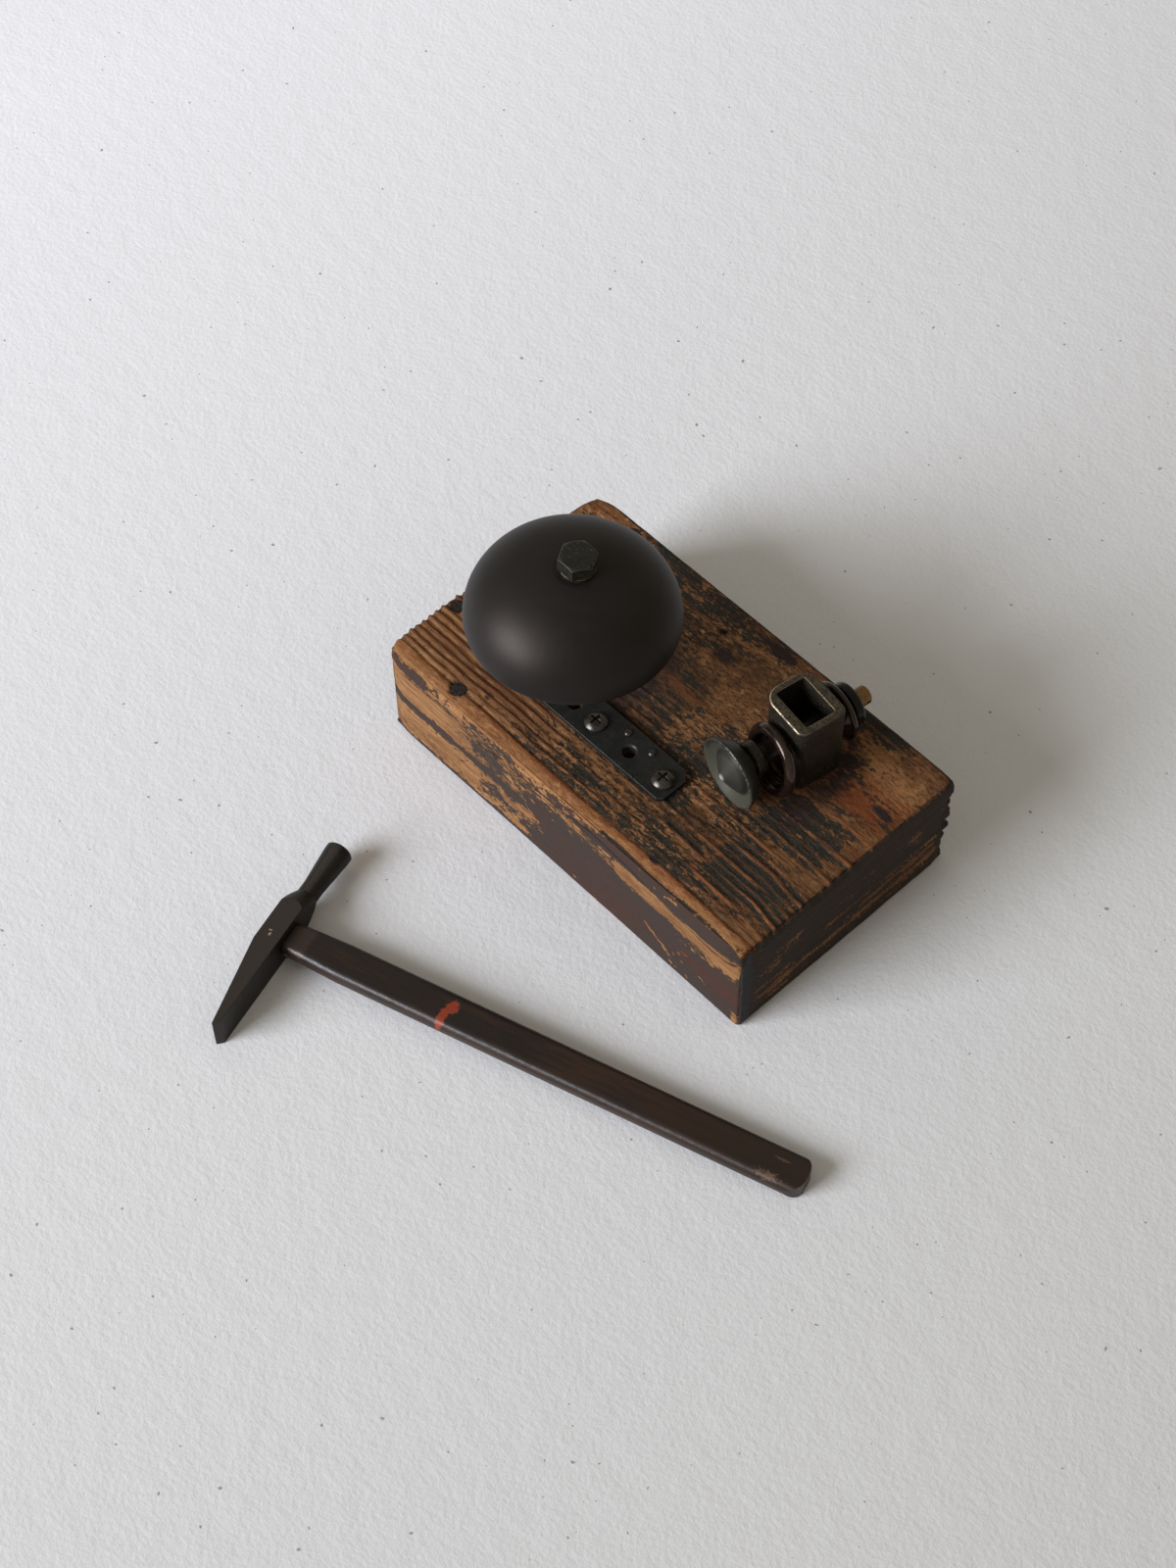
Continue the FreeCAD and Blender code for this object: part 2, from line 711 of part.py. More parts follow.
def rounded_section(width, thickness, u):
    # a wire across the handle, its corners rounded
    radius = handle_edge_radius
    rounds = []
    for side_y, side_z, start in ((1, 1, 0), (-1, 1, 90), (-1, -1, 180), (1, -1, 270)):
        centre = Vector(u, side_y * (width / 2 - radius), side_z * (thickness / 2 - radius))
        spokes = [math.radians(start + step) for step in (0, 45, 90)]
        rounds.append([centre + Vector(0, radius * math.cos(a), radius * math.sin(a)) for a in spokes])
    edges = []
    for corner, following in zip(rounds, rounds[1:] + rounds[:1]):
        edges.append(Part.Arc(*corner).toShape())
        edges.append(Part.makeLine(corner[-1], following[0]))
    return Part.Wire(edges)


def tenon(gap):
    # fills the eye, and with a gap it cuts the eye
    outer_end = -head_width - tenon_proud - gap
    length = shoulder_gap - outer_end
    width, thickness = tenon_width + 2 * gap, tenon_thickness + 2 * gap
    return Part.makeBox(length, width, thickness, Vector(outer_end, -width / 2, -thickness / 2))


def hammer_handle():
    sections = [
        rounded_section(grip_start_width, grip_thickness, shoulder_gap),
        rounded_section(grip_width, grip_thickness, grip_full_length),
    ]
    start = Part.makeLoft(sections, True, True)
    straight = Part.Face(sections[-1]).extrude(Vector(handle_length - grip_full_length, 0, 0))
    corner = Vector(handle_length - 2 * far, -grip_width / 2, -far / 2)
    end_plan = Part.makeBox(2 * far, grip_width, far, corner)
    end_plan = end_plan.makeFillet(handle_end_radius, upright_edges(end_plan, lambda x: x > 0))
    grip = start.fuse(straight).removeSplitter().common(end_plan)
    handle = grip.fuse(tenon(0)).removeSplitter()
    handle = handle.cut(wedge_shape(fastener_gap))
    return on_hammer(in_handle(handle.cut(handle_pin_shape(fastener_gap))))


def wedge_shape(gap):
    outer_end = -head_width - tenon_proud
    length, width = wedge_length + 2 * gap, wedge_width + 2 * gap
    return Part.makeBox(wedge_depth + gap, length, width, Vector(outer_end, -length / 2, -width / 2))


def hammer_wedge():
    return on_hammer(in_handle(wedge_shape(0)))


def handle_pin_shape(gap):
    # driven into the near side of the handle, beside the cheek
    widening = (grip_width - grip_start_width) * handle_pin_offset / grip_full_length
    side = (grip_start_width + widening) / 2 + handle_pin_seat
    pin = rod(handle_pin_radius + gap, side - handle_pin_depth - gap, side)
    if not gap:
        pin = pin.fuse(rod(handle_pin_head_radius, side, side + handle_pin_head_height)).removeSplitter()
    return placed(pin, Placement(Vector(handle_pin_offset, 0, 0), Rotation(Vector(1, 0, 0), 90)))


def hammer_pin():
    return on_hammer(in_handle(handle_pin_shape(0)))


# ---------------------------------------------------------------- one STEP file for each node
nodes = [
    wood_block, block_nails,
    bell_bracket, bracket_screws, bracket_pins,
    bell_gong, bell_bolt, bell_top_washer, bell_seat_washer, bell_spacer, bell_spring_washer, bell_nut,
    socket_tube, socket_screw, outer_flange, inner_flange, end_nut,
    clamp_screw, clamp_knob, knob_button,
    hammer_head, hammer_handle, hammer_wedge, hammer_pin,
]
os.makedirs("parts", exist_ok=True)
for node in nodes:
    shape = node()
    shape.exportStep("parts/" + node.__name__ + ".step")
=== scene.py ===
import math

import bpy
import numpy as np
from mathutils import Matrix, Vector


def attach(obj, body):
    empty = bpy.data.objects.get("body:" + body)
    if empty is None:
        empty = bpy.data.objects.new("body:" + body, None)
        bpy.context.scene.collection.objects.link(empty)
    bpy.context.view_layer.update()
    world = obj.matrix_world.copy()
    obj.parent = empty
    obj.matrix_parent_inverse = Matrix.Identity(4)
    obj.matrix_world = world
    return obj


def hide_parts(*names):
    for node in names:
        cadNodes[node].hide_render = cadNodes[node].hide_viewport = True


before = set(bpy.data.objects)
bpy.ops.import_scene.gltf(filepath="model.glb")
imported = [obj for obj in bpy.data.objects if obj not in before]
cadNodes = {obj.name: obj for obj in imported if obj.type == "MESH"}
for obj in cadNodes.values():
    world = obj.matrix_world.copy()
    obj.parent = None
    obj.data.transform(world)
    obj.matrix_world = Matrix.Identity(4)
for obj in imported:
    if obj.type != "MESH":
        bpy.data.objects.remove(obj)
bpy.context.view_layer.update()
print("frame loaded,", len(cadNodes), "nodes")

mm = 0.001

# camera, floor and light

cameraSetup = {
    "place": (0.35699, -0.35755, 0.72798),
    "target": (-0.01640, -0.01612, 0.0),
    "roll": -0.90,       # degrees
    "lens": 67.64,
    "sensor": 36.0,      # on the image's long side
}


def addCamera(setup):
    # looks from its place to the target, then is rolled about the line of sight
    place, target = Vector(setup["place"]), Vector(setup["target"])
    ahead = (target - place).normalized()
    level = ahead.cross(Vector((0, 0, 1))).normalized()
    upright = level.cross(ahead)
    roll = math.radians(setup["roll"])
    right = math.cos(roll) * level + math.sin(roll) * upright
    top = math.cos(roll) * upright - math.sin(roll) * level
    lens = bpy.data.cameras.new("camera")
    lens.sensor_fit = "VERTICAL"
    lens.sensor_height = setup["sensor"]
    lens.lens = setup["lens"]
    camera = bpy.data.objects.new("camera", lens)
    turn = Matrix((right, top, -ahead)).transposed()
    camera.matrix_world = Matrix.Translation(place) @ turn.to_4x4()
    bpy.context.collection.objects.link(camera)
    bpy.context.scene.camera = camera


lightSetup = {
    "aim": (0.0, -0.02, 0.0),
    "fromAzimuth": -107.6,    # degrees from +X
    "fromElevation": 26.6,
    "distance": 3.0,
    "width": 1.71,
    "height": 1.38,
    "power": 136.0,
    "colour": (0.882, 0.920, 1.0),
    "roomColour": (1.0, 0.93, 0.785),
    "roomLevel": 0.376,
}


def addLight(setup):
    # one large soft window and a dim warm room
    azimuth, elevation = math.radians(setup["fromAzimuth"]), math.radians(setup["fromElevation"])
    towards = Vector((
        math.cos(elevation) * math.cos(azimuth),
        math.cos(elevation) * math.sin(azimuth),
        math.sin(elevation),
    ))
    data = bpy.data.lights.new("window", "AREA")
    data.shape = "RECTANGLE"
    data.size = setup["width"]
    data.size_y = setup["height"]
    data.energy = setup["power"]
    data.color = setup["colour"]
    window = bpy.data.objects.new("window", data)
    window.location = Vector(setup["aim"]) + towards * setup["distance"]
    window.rotation_euler = towards.to_track_quat("Z", "Y").to_euler()
    bpy.context.collection.objects.link(window)

    world = bpy.data.worlds.new("room")
    world.use_nodes = True
    bpy.context.scene.world = world
    tree = world.node_tree
    tree.nodes.clear()
    room = add(tree, "ShaderNodeBackground", {
        "Color": (*setup["roomColour"], 1), "Strength": setup["roomLevel"]})
    add(tree, "ShaderNodeOutputWorld", {"Surface": room.outputs[0]})


# small helpers for materials

def add(tree, kind, sockets=None, **settings):
    # makes a node, sets its options, then fills or links its inputs
    made = tree.nodes.new(kind)
    for name, value in settings.items():
        setattr(made, name, value)
    for name, value in (sockets or {}).items():
        if isinstance(value, bpy.types.NodeSocket):
            tree.links.new(value, made.inputs[name])
        else:
            made.inputs[name].default_value = value
    return made


def combine(tree, operation, first, second, third=0.0):
    made = add(tree, "ShaderNodeMath", {0: first, 1: second, 2: third}, operation=operation)
    return made.outputs[0]


def times(tree, value, *others):
    for other in others:
        value = combine(tree, "MULTIPLY", value, other)
    return value


def timesPlus(tree, first, second, third):
    # first x second + third
    return combine(tree, "MULTIPLY_ADD", first, second, third)


def shaken(tree, value, noise, amount):
    # value + amount x (noise - 1/2)
    return timesPlus(tree, combine(tree, "SUBTRACT", noise, 0.5), amount, value)


def vectorMath(tree, operation, first, second=(0, 0, 0), output=0):
    made = add(tree, "ShaderNodeVectorMath", {0: first, 1: second}, operation=operation)
    return made.outputs[output]


def cloud(tree, place, scale, detail=4.0, roughness=0.6, distortion=0.0):
    return add(tree, "ShaderNodeTexNoise", {
        "Vector": place, "Scale": scale, "Detail": detail,
        "Roughness": roughness, "Distortion": distortion}).outputs[0]


def fibres(tree, place, factors, detail, roughness, distortion=0.0):
    # clouds drawn out along the axis with the smallest factor
    drawn = vectorMath(tree, "MULTIPLY", place, factors)
    return cloud(tree, drawn, 1.0, detail, roughness, distortion)


def parts(tree, vector):
    # x, y and z
    return add(tree, "ShaderNodeSeparateXYZ", {0: vector}).outputs


def between(tree, value, low, high):
    # 0 below low, 1 above high, eased between them
    return add(tree, "ShaderNodeMapRange", {"Value": value, "From Min": low, "From Max": high},
               interpolation_type="SMOOTHSTEP").outputs[0]


def below(tree, value, low, high):
    # 1 below low, 0 above high, eased between them
    return between(tree, combine(tree, "SUBTRACT", 0.0, value), -high, -low)


def rescaled(tree, value, low, high):
    # from 0 to 1 made from low to high
    made = add(tree, "ShaderNodeMapRange", {"Value": value, "To Min": low, "To Max": high})
    return made.outputs[0]


def blend(tree, share, first, second):
    # the first colour where share is 0, the second where it is 1
    made = add(tree, "ShaderNodeMix", data_type="RGBA")
    for index, value in ((0, share), (6, first), (7, second)):
        socket = made.inputs[index]
        if isinstance(value, bpy.types.NodeSocket):
            tree.links.new(value, socket)
        else:
            socket.default_value = value if isinstance(value, float) else (*value, 1)
    return made.outputs[2]


def relief(tree, height, distance, strength=1.0, normal=None):
    # a bump as high as the distance where the height is 1
    sockets = {"Height": height, "Distance": distance, "Strength": strength}
    if normal is not None:
        sockets["Normal"] = normal
    return add(tree, "ShaderNodeBump", sockets).outputs[0]


def startFinish(name):
    # a new material, its tree, its shader and the piece's own coordinates
    material = bpy.data.materials.new(name)
    material.use_nodes = True
    tree = material.node_tree
    shader = tree.nodes["Principled BSDF"]
    place = tree.nodes.new("ShaderNodeTexCoord").outputs["Object"]
    return material, tree, shader, place


def feed(tree, shader, gloss, **values):
    # links or sets the shader's inputs by name, with _ for a space
    for name, value in values.items():
        socket = shader.inputs[name.replace("_", " ")]
        if isinstance(value, bpy.types.NodeSocket):
            tree.links.new(value, socket)
        else:
            socket.default_value = value
    shader.inputs["Specular IOR Level"].default_value = gloss


def edgeWear(tree, radius):
    # near a sharp edge the rounded normal leaves the true one
    rounded = add(tree, "ShaderNodeBevel", {"Radius": radius}, samples=6).outputs[0]
    return rounded, combine(tree, "SUBTRACT", 1.0, facing(tree, rounded))


def ownFrame(tree, place, setup):
    # coordinates in mm in a frame that is turned about the upright
    yaw = math.radians(setup["yaw"])
    return add(tree, "ShaderNodeMapping", {
        "Vector": place, "Location": setup["origin"], "Rotation": (0, 0, yaw),
        "Scale": (mm, mm, mm)}, vector_type="TEXTURE").outputs[0]


def blob(tree, place, centre, size, ragged, inner=0.8, outer=1.0):
    # 1 inside an ellipsoid and 0 outside it, its edge moved by the ragged value
    away = vectorMath(tree, "DIVIDE", vectorMath(tree, "SUBTRACT", place, centre), size)
    length = vectorMath(tree, "LENGTH", away, output="Value")
    return below(tree, shaken(tree, length, ragged, 2.2), inner, outer)


def facing(tree, direction):
    # cosine of the angle between the surface and a direction
    flat = add(tree, "ShaderNodeNewGeometry").outputs["Normal"]
    return vectorMath(tree, "DOT_PRODUCT", flat, direction, "Value")


def metalFinish(name, look, zones=None):
    # two patina tones in soft patches, light specks, bare metal on worn edges and a fine grit
    material, tree, shader, place = startFinish(name)
    patches = cloud(tree, place, look["patchScale"], 5.0, 0.62, 0.6)
    grit = cloud(tree, place, look["gritScale"], 3.0, 0.7)
    colour = blend(tree, between(tree, patches, 0.36, 0.66), look["base"], look["patina"])
    speckle = times(tree, between(tree, grit, 0.56, 0.78), look["speckle"])
    colour = blend(tree, speckle, colour, look["worn"])
    rounded, edge = edgeWear(tree, look["edgeRadius"])
    broken = timesPlus(tree, grit, 0.10, edge)
    start = look["edgeFrom"]
    worn = times(tree, between(tree, broken, start, start + 0.10), look["edgeShare"])
    colour = blend(tree, worn, colour, look["worn"])
    rough = timesPlus(tree, grit, 0.5, times(tree, patches, 0.5))
    rough = rescaled(tree, rough, *look["rough"])
    normal = relief(tree, grit, look["gritDepth"], 1.0, rounded)
    normal = relief(tree, patches, look["patchDepth"], 1.0, normal)
    metallic = timesPlus(tree, worn, look["wornMetal"], look["metal"])
    if zones:
        colour, rough, metallic = zones(tree, place, grit, colour, rough, metallic)
    feed(tree, shader, look["gloss"], Base_Color=colour, Roughness=rough, Metallic=metallic,
         Normal=normal, Specular_Tint=(*look["tint"], 1))
    return material


metalDefaults = {
    "nodes": (),             # the CAD pieces that wear this finish
    "base": (0.0080, 0.0072, 0.0065),
    "patina": (0.0150, 0.0135, 0.0120),
    "worn": (0.12, 0.10, 0.08),
    "patchScale": 120.0,
    "gritScale": 1400.0,
    "speckle": 0.25,
    "edgeRadius": 0.0004,
    "edgeFrom": 0.12,
    "edgeShare": 0.4,
    "rough": (0.32, 0.55),   # least and most roughness
    "gritDepth": 0.00003,
    "patchDepth": 0.00006,
    "metal": 0.0,
    "wornMetal": 0.7,
    "gloss": 0.28,
    "tint": (1.0, 0.93, 0.86),
}

metalLooks = {
    "gongMetal": {
        "nodes": ("bell_gong",),
        "base": (0.0050, 0.0046, 0.0044), "patina": (0.0085, 0.0077, 0.0073),
        "worn": (0.04, 0.034, 0.03), "patchScale": 34.0, "speckle": 0.10, "edgeShare": 0.3,
        "rough": (0.43, 0.52), "gritDepth": 0.000008, "patchDepth": 0.00004, "gloss": 0.27,
        "tint": (1.0, 0.84, 0.75)},
    "boltSteel": {
        "nodes": ("bell_bolt", "bell_top_washer", "bell_nut"),
        "base": (0.013, 0.0125, 0.0095), "patina": (0.0075, 0.0075, 0.0055),
        "worn": (0.36, 0.30, 0.16), "edgeShare": 0.45, "gloss": 0.3},
    "blackStrip": {
        "nodes": ("bell_bracket",),
        "base": (0.0080, 0.0082, 0.0078), "patina": (0.0135, 0.0140, 0.0130),
        "worn": (0.30, 0.29, 0.26), "patchScale": 160.0, "speckle": 0.10, "edgeRadius": 0.00025,
        "rough": (0.36, 0.52), "gloss": 0.3},
    "blackScrew": {
        "nodes": ("bracket_screws", "bracket_pins"),
        "base": (0.008, 0.007, 0.0065), "patina": (0.018, 0.015, 0.012), "worn": (0.16, 0.13, 0.10),
        "edgeRadius": 0.0003, "rough": (0.20, 0.34), "gloss": 0.6},
    "dullSteel": {
        "nodes": ("bell_seat_washer", "bell_spring_washer", "hammer_wedge", "hammer_pin"),
        "base": (0.05, 0.04, 0.032), "patina": (0.024, 0.018, 0.014), "worn": (0.2, 0.18, 0.15)},
    "nailIron": {
        "nodes": ("block_nails",),
        "base": (0.020, 0.017, 0.015), "patina": (0.010, 0.008, 0.007), "worn": (0.07, 0.06, 0.055),
        "patchScale": 900.0, "rough": (0.45, 0.7), "patchDepth": 0.0005},
    "spacerBrass": {
        "nodes": ("bell_spacer", "socket_screw"),
        "base": (0.20, 0.14, 0.06), "patina": (0.10, 0.07, 0.035), "worn": (0.4, 0.3, 0.14),
        "metal": 0.6},
    "socketBrass": {
        "nodes": ("socket_tube",),
        "base": (0.0085, 0.0075, 0.0055), "patina": (0.0170, 0.0150, 0.0115),
        "worn": (0.60, 0.44, 0.22), "patchScale": 90.0, "edgeRadius": 0.0006, "edgeFrom": 0.16,
        "edgeShare": 0.70, "rough": (0.34, 0.55)},
    "flangeBrass": {
        "nodes": ("inner_flange",),
        "base": (0.0065, 0.0040, 0.0030), "patina": (0.0190, 0.0105, 0.0075),
        "worn": (0.10, 0.055, 0.036), "edgeShare": 0.10, "rough": (0.11, 0.20),
        "gritDepth": 0.00001, "patchDepth": 0.000015, "gloss": 0.45, "tint": (1.0, 0.80, 0.68)},
    "nutSteel": {
        "nodes": ("end_nut",),
        "base": (0.0045, 0.0038, 0.0033), "patina": (0.0080, 0.0070, 0.0060),
        "worn": (0.06, 0.05, 0.045), "edgeShare": 0.12, "rough": (0.16, 0.26), "gloss": 0.22},
    "spindleBrass": {
        "nodes": ("clamp_screw",),
        "base": (0.012, 0.009, 0.007), "patina": (0.008, 0.0065, 0.005), "worn": (0.5, 0.34, 0.12),
        "rough": (0.24, 0.4)},
    "knobSteel": {
        "base": (0.0100, 0.0096, 0.0076), "patina": (0.0165, 0.0163, 0.0130),
        "worn": (0.12, 0.115, 0.09), "edgeShare": 0.3, "rough": (0.34, 0.46), "gloss": 0.24},
    "hammerIron": {
        "nodes": ("hammer_head",),
        "base": (0.0080, 0.0070, 0.0064), "patina": (0.0135, 0.0115, 0.0102),
        "worn": (0.11, 0.095, 0.08), "patchScale": 150.0, "edgeShare": 0.3, "rough": (0.38, 0.56),
        "gritDepth": 0.00006},
}

# where the clamp and the hammer stand, and which way the clamp's knob points
clampFrame = {"origin": (0.038, 0.017, 0.038), "yaw": -8.7}
hammerFrame = {"origin": (-0.036, -0.112, 0), "yaw": 17.5}
knobSide = (-0.151, -0.988, 0)

zoneColours = {
    # bare brass from wear, and a painted highlight, on the socket's mouth
    "bareBrassAndHighlight": (0.78, 0.62, 0.42),
    "mouth": (0.060, 0.045, 0.026),
    "tail": (0.21, 0.120, 0.043),
    "button": (0.032, 0.031, 0.025),
    "ring": (0.060, 0.058, 0.043),
    "lip": (0.12, 0.116, 0.09),
    # a painted highlight on the knob's point
    "tipHighlight": (0.42, 0.40, 0.38),
    # painted shade in the flange's dish
    "dishShade": (0.0025, 0.0019, 0.0016),
    "hammerTop": (0.0330, 0.0265, 0.0225),
    "nick": (0.26, 0.19, 0.13),
}


def socketZones(tree, place, grit, colour, rough, metallic):
    # the mouth's outer edge is rubbed to bare brass on the knob's side and at the back, and its
    # bright colour there, on the faces that meet the light, is also a painted highlight
    upward = facing(tree, (0, 0, 1))
    high = between(tree, parts(tree, ownFrame(tree, place, clampFrame))[2], 24.6, 25.2)
    side = between(tree, facing(tree, (-0.75, -0.66, 0)), 0.25, 0.75)
    rubbed = between(tree, cloud(tree, place, 420.0), 0.36, 0.52)
    # bare brass from wear, and a painted highlight on the side that faces the light
    bare = times(tree, between(tree, upward, 0.10, 0.35), below(tree, upward, 0.93, 0.985), high,
                 rescaled(tree, side, 0.05, 1.0), between(tree, grit, 0.30, 0.46),
                 rescaled(tree, rubbed, 0.20, 1.0))
    mouth = times(tree, between(tree, upward, 0.97, 0.99), high, between(tree, grit, 0.40, 0.62))
    colour = blend(tree, mouth, colour, zoneColours["mouth"])
    colour = blend(tree, bare, colour, zoneColours["bareBrassAndHighlight"])
    return colour, timesPlus(tree, bare, -0.08, rough), combine(tree, "MAXIMUM", metallic, bare)


def spindleZones(tree, place, grit, colour, rough, metallic):
    # the slotted tail beyond the nut is clean brass
    along = parts(tree, ownFrame(tree, place, clampFrame))[1]
    clean = times(tree, between(tree, along, 17.0, 18.4), between(tree, grit, 0.25, 0.50))
    colour = blend(tree, clean, colour, zoneColours["tail"])
    return colour, rough, combine(tree, "MAXIMUM", metallic, times(tree, clean, 0.55))


def knobZones(tree, place, grit, colour, rough, metallic):
    # rings by their distance in mm from the knob's axis
    own = ownFrame(tree, place, clampFrame)
    spoke = vectorMath(tree, "MULTIPLY", own, (1, 0, 1))
    spoke = vectorMath(tree, "DISTANCE", spoke, (0, 0, 12.6), "Value")
    front = between(tree, facing(tree, knobSide), 0.30, 0.60)
    upper = between(tree, parts(tree, own)[2], 11.0, 16.0)
    dark = times(tree, between(tree, spoke, 9.3, 10.2), upper)     # the dish's outer part on the upper half, left darker: painted shade
    ring = times(tree, between(tree, spoke, 6.7, 8.4), front, rescaled(tree, dark, 1.0, 0.25))
    button = times(tree, below(tree, spoke, 5.4, 6.6), front)
    lip = times(tree, between(tree, spoke, 10.6, 10.9), front)
    # a painted highlight on the button's point
    tipHighlight = times(tree, below(tree, spoke, 0.3, 1.5), front)
    for zone, share, name in (
            (button, 0.7, "button"), (ring, rescaled(tree, grit, 0.6, 1.0), "ring"),
            (lip, between(tree, grit, 0.40, 0.60), "lip"), (tipHighlight, 0.8, "tipHighlight")):
        colour = blend(tree, times(tree, zone, share), colour, zoneColours[name])
    return colour, timesPlus(tree, lip, -0.08, rough), timesPlus(tree, lip, 0.6, metallic)


def flangeZones(tree, place, grit, colour, rough, metallic):
    # the dish inside the rolled rim is darkened: painted shade, where the knob shadows it
    spoke = vectorMath(tree, "DISTANCE", place, (0.0386, 0.0039, 0.0495), "Value")
    front = between(tree, facing(tree, knobSide), 0.35, 0.75)
    dish = times(tree, front, below(tree, spoke, 0.0081, 0.0087))
    colour = blend(tree, dish, colour, zoneColours["dishShade"])
    return colour, timesPlus(tree, dish, 0.55, rough), metallic


def hammerZones(tree, place, grit, colour, rough, metallic):
    # the flat top is a paler, browner grey than the sides, with two bright nicks
    own = ownFrame(tree, place, hammerFrame)
    flat = between(tree, facing(tree, (0, 0, 1)), 0.90, 0.99)
    flat = times(tree, flat, rescaled(tree, grit, 0.5, 1.1))
    colour = blend(tree, flat, colour, zoneColours["hammerTop"])
    for centre, size in (
            ((-3.0, -10.0, 12.0), (0.5, 0.35, 1.0)), ((-2.5, -11.3, 12.0), (0.35, 0.6, 1.0))):
        colour = blend(tree, blob(tree, own, centre, size, grit), colour, zoneColours["nick"])
    return colour, rough, metallic


zonesOf = {
    "socketBrass": socketZones,
    "spindleBrass": spindleZones,
    "knobSteel": knobZones,
    "flangeBrass": flangeZones,
    "hammerIron": hammerZones,
}


def coverNode(node, material):
    # a CAD piece keeps its shape and takes the finish
    mesh = cadNodes[node].data
    mesh.materials.clear()
    mesh.materials.append(material)


# fields and shapes worked out with numpy

def lattice(x, y, seed):
    # random heights at whole numbers, eased between them with 3t^2 - 2t^3
    table = np.random.default_rng(seed).random((64, 64))
    column, row = np.floor(x).astype(int), np.floor(y).astype(int)
    across, along = x - column, y - row
    across, along = across * across * (3 - 2 * across), along * along * (3 - 2 * along)
    column, row, nextColumn, nextRow = column % 64, row % 64, (column + 1) % 64, (row + 1) % 64
    low = table[column, row] * (1 - across) + table[nextColumn, row] * across
    high = table[column, nextRow] * (1 - across) + table[nextColumn, nextRow] * across
    return low * (1 - along) + high * along


def clouds(x, y, seed, layers=3):
    # layers of the lattice, each twice as fine and half as strong as the last, from 0 to 1
    total, weight = 0.0, 0.0
    for layer in range(layers):
        share, finer = 0.5 ** layer, 2 ** layer
        field = lattice(x * finer + 7.3 * layer, y * finer + 3.1 * layer, seed + layer)
        total = total + share * field
        weight += share
    return total / weight


def waves(x, y, seed):
    # the clouds from -1/2 to 1/2
    return clouds(x, y, seed) - 0.5


def ease(low, high, value):
    # 3t^2 - 2t^3, where t goes from 0 at low to 1 at high
    share = np.clip((value - low) / (high - low), 0, 1)
    return share * share * (3 - 2 * share)


def ridge(distance, width):
    # a bell curve of 1 at distance 0
    return np.exp(-(distance / width) ** 2)


def patch(x, y, box, soft):
    # 1 inside the box, falling to 0 over the soft width
    left, right, low, high = box
    return (ease(left - soft, left + soft, x) * ease(right + soft, right - soft, x)
            * ease(low - soft, low + soft, y) * ease(high + soft, high - soft, y))


def areas(x, y, boxes):
    # the sum of amount x patch
    return sum(amount * patch(x, y, box, soft) for *box, soft, amount in boxes)


def addPiece(name, points, faces, material, body):
    # a mesh in metres with its object at the origin, riding on its body
    mesh = bpy.data.meshes.new(name)
    mesh.from_pydata(points.tolist(), [], faces if isinstance(faces, list) else faces.tolist())
    mesh.materials.append(material)
    mesh.shade_smooth()
    piece = bpy.data.objects.new(name, mesh)
    bpy.context.collection.objects.link(piece)
    if body:
        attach(piece, body)
    return piece


# the turned knob and the rolled flange

def softened(outline, passes=2):
    # cuts every corner at a quarter and three quarters of its sides, and keeps both ends
    for _ in range(passes):
        first, second = outline[:-1], outline[1:]
        near, far = 0.75 * first + 0.25 * second, 0.25 * first + 0.75 * second
        cuts = np.stack([near, far], 1).reshape(-1, 2)
        outline = np.concatenate([outline[:1], cuts, outline[-1:]])
    return outline


def turned(outline, steps, outward):
    # point = r (cos a side + sin a up) + h outward, for each (r, h) of the outline and each angle a
    outward = np.array(outward)
    side = np.cross((0, 0, 1), outward)
    side /= np.linalg.norm(side)
    angles = np.linspace(0, 2 * np.pi, steps, endpoint=False)
    spokes = np.cos(angles)[:, None] * side + np.sin(angles)[:, None] * np.cross(outward, side)
    radius, height = outline.T
    points = radius[:, None, None] * spokes + height[:, None, None] * outward
    index = np.arange(radius.size * steps).reshape(radius.size, steps)
    return points.reshape(-1, 3), index, np.roll(index, -1, axis=1)


knobShape = {
    "origin": (38.0, 17.0, 50.6),
    "outward": (-0.151261, -0.988494, 0.0),
    "steps": 128,
    # radius and height: bore, back, side, lip, dished ring, pointed button
    "outline": (
        (0, 24.5), (2.9, 24.5), (3.1, 24.4), (3.1, 24.2), (3.1, 22.0), (3.2, 21.8), (3.5, 21.8),
        (8.3, 21.8), (8.9, 21.85), (9.15, 22.2), (10.4, 24.0), (11.45, 25.6), (11.5, 26.0),
        (11.35, 26.45), (11.0, 26.6), (10.6, 26.45), (9.6, 25.75), (8.5, 24.95), (7.8, 24.6),
        (7.3, 24.7), (6.9, 25.2), (5.6, 26.1), (3.6, 27.25), (2.0, 28.1), (1.0, 28.62),
        (0.4, 28.88), (0, 28.9)),
}


def turnedKnob(shape, material):
    # the outline runs from one pole to the other, and a fan of faces closes each pole
    outline, steps = softened(np.array(shape["outline"], float)), shape["steps"]
    points, index, after = turned(outline[1:-1], steps, shape["outward"])
    points = np.concatenate([points, outline[[0, -1], 1][:, None] * np.array(shape["outward"])])
    quads = np.stack([index[:-1], after[:-1], after[1:], index[1:]], -1).reshape(-1, 4)
    back = np.stack([after[0], index[0], np.full(steps, index.size)], -1)
    front = np.stack([index[-1], after[-1], np.full(steps, index.size + 1)], -1)
    faces = quads.tolist() + back.tolist() + front.tolist()
    points = (points + shape["origin"]) * mm
    piece = addPiece("turned_knob", points, faces, material, "clamp")
    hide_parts("clamp_knob")
    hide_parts("knob_button")
    print("knob made,", len(faces), "faces")


flangeShape = {
    "origin": (38.619, 3.855, 49.503),       # the middle of the rolled rim
    "outward": (-0.24292, -0.96001, 0.13917),
    "steps": 160,
    "rimRadius": 9.62,
    "roll": 1.68,
    # radius and height: dish, bore, back of the hub
    "hub": (
        (7.80, -0.95), (7.55, -1.35), (7.10, -1.55), (6.92, -1.60), (6.80, -1.72), (6.80, -2.65),
        (6.92, -2.78), (8.20, -2.80), (8.55, -2.68), (8.85, -2.20)),
}


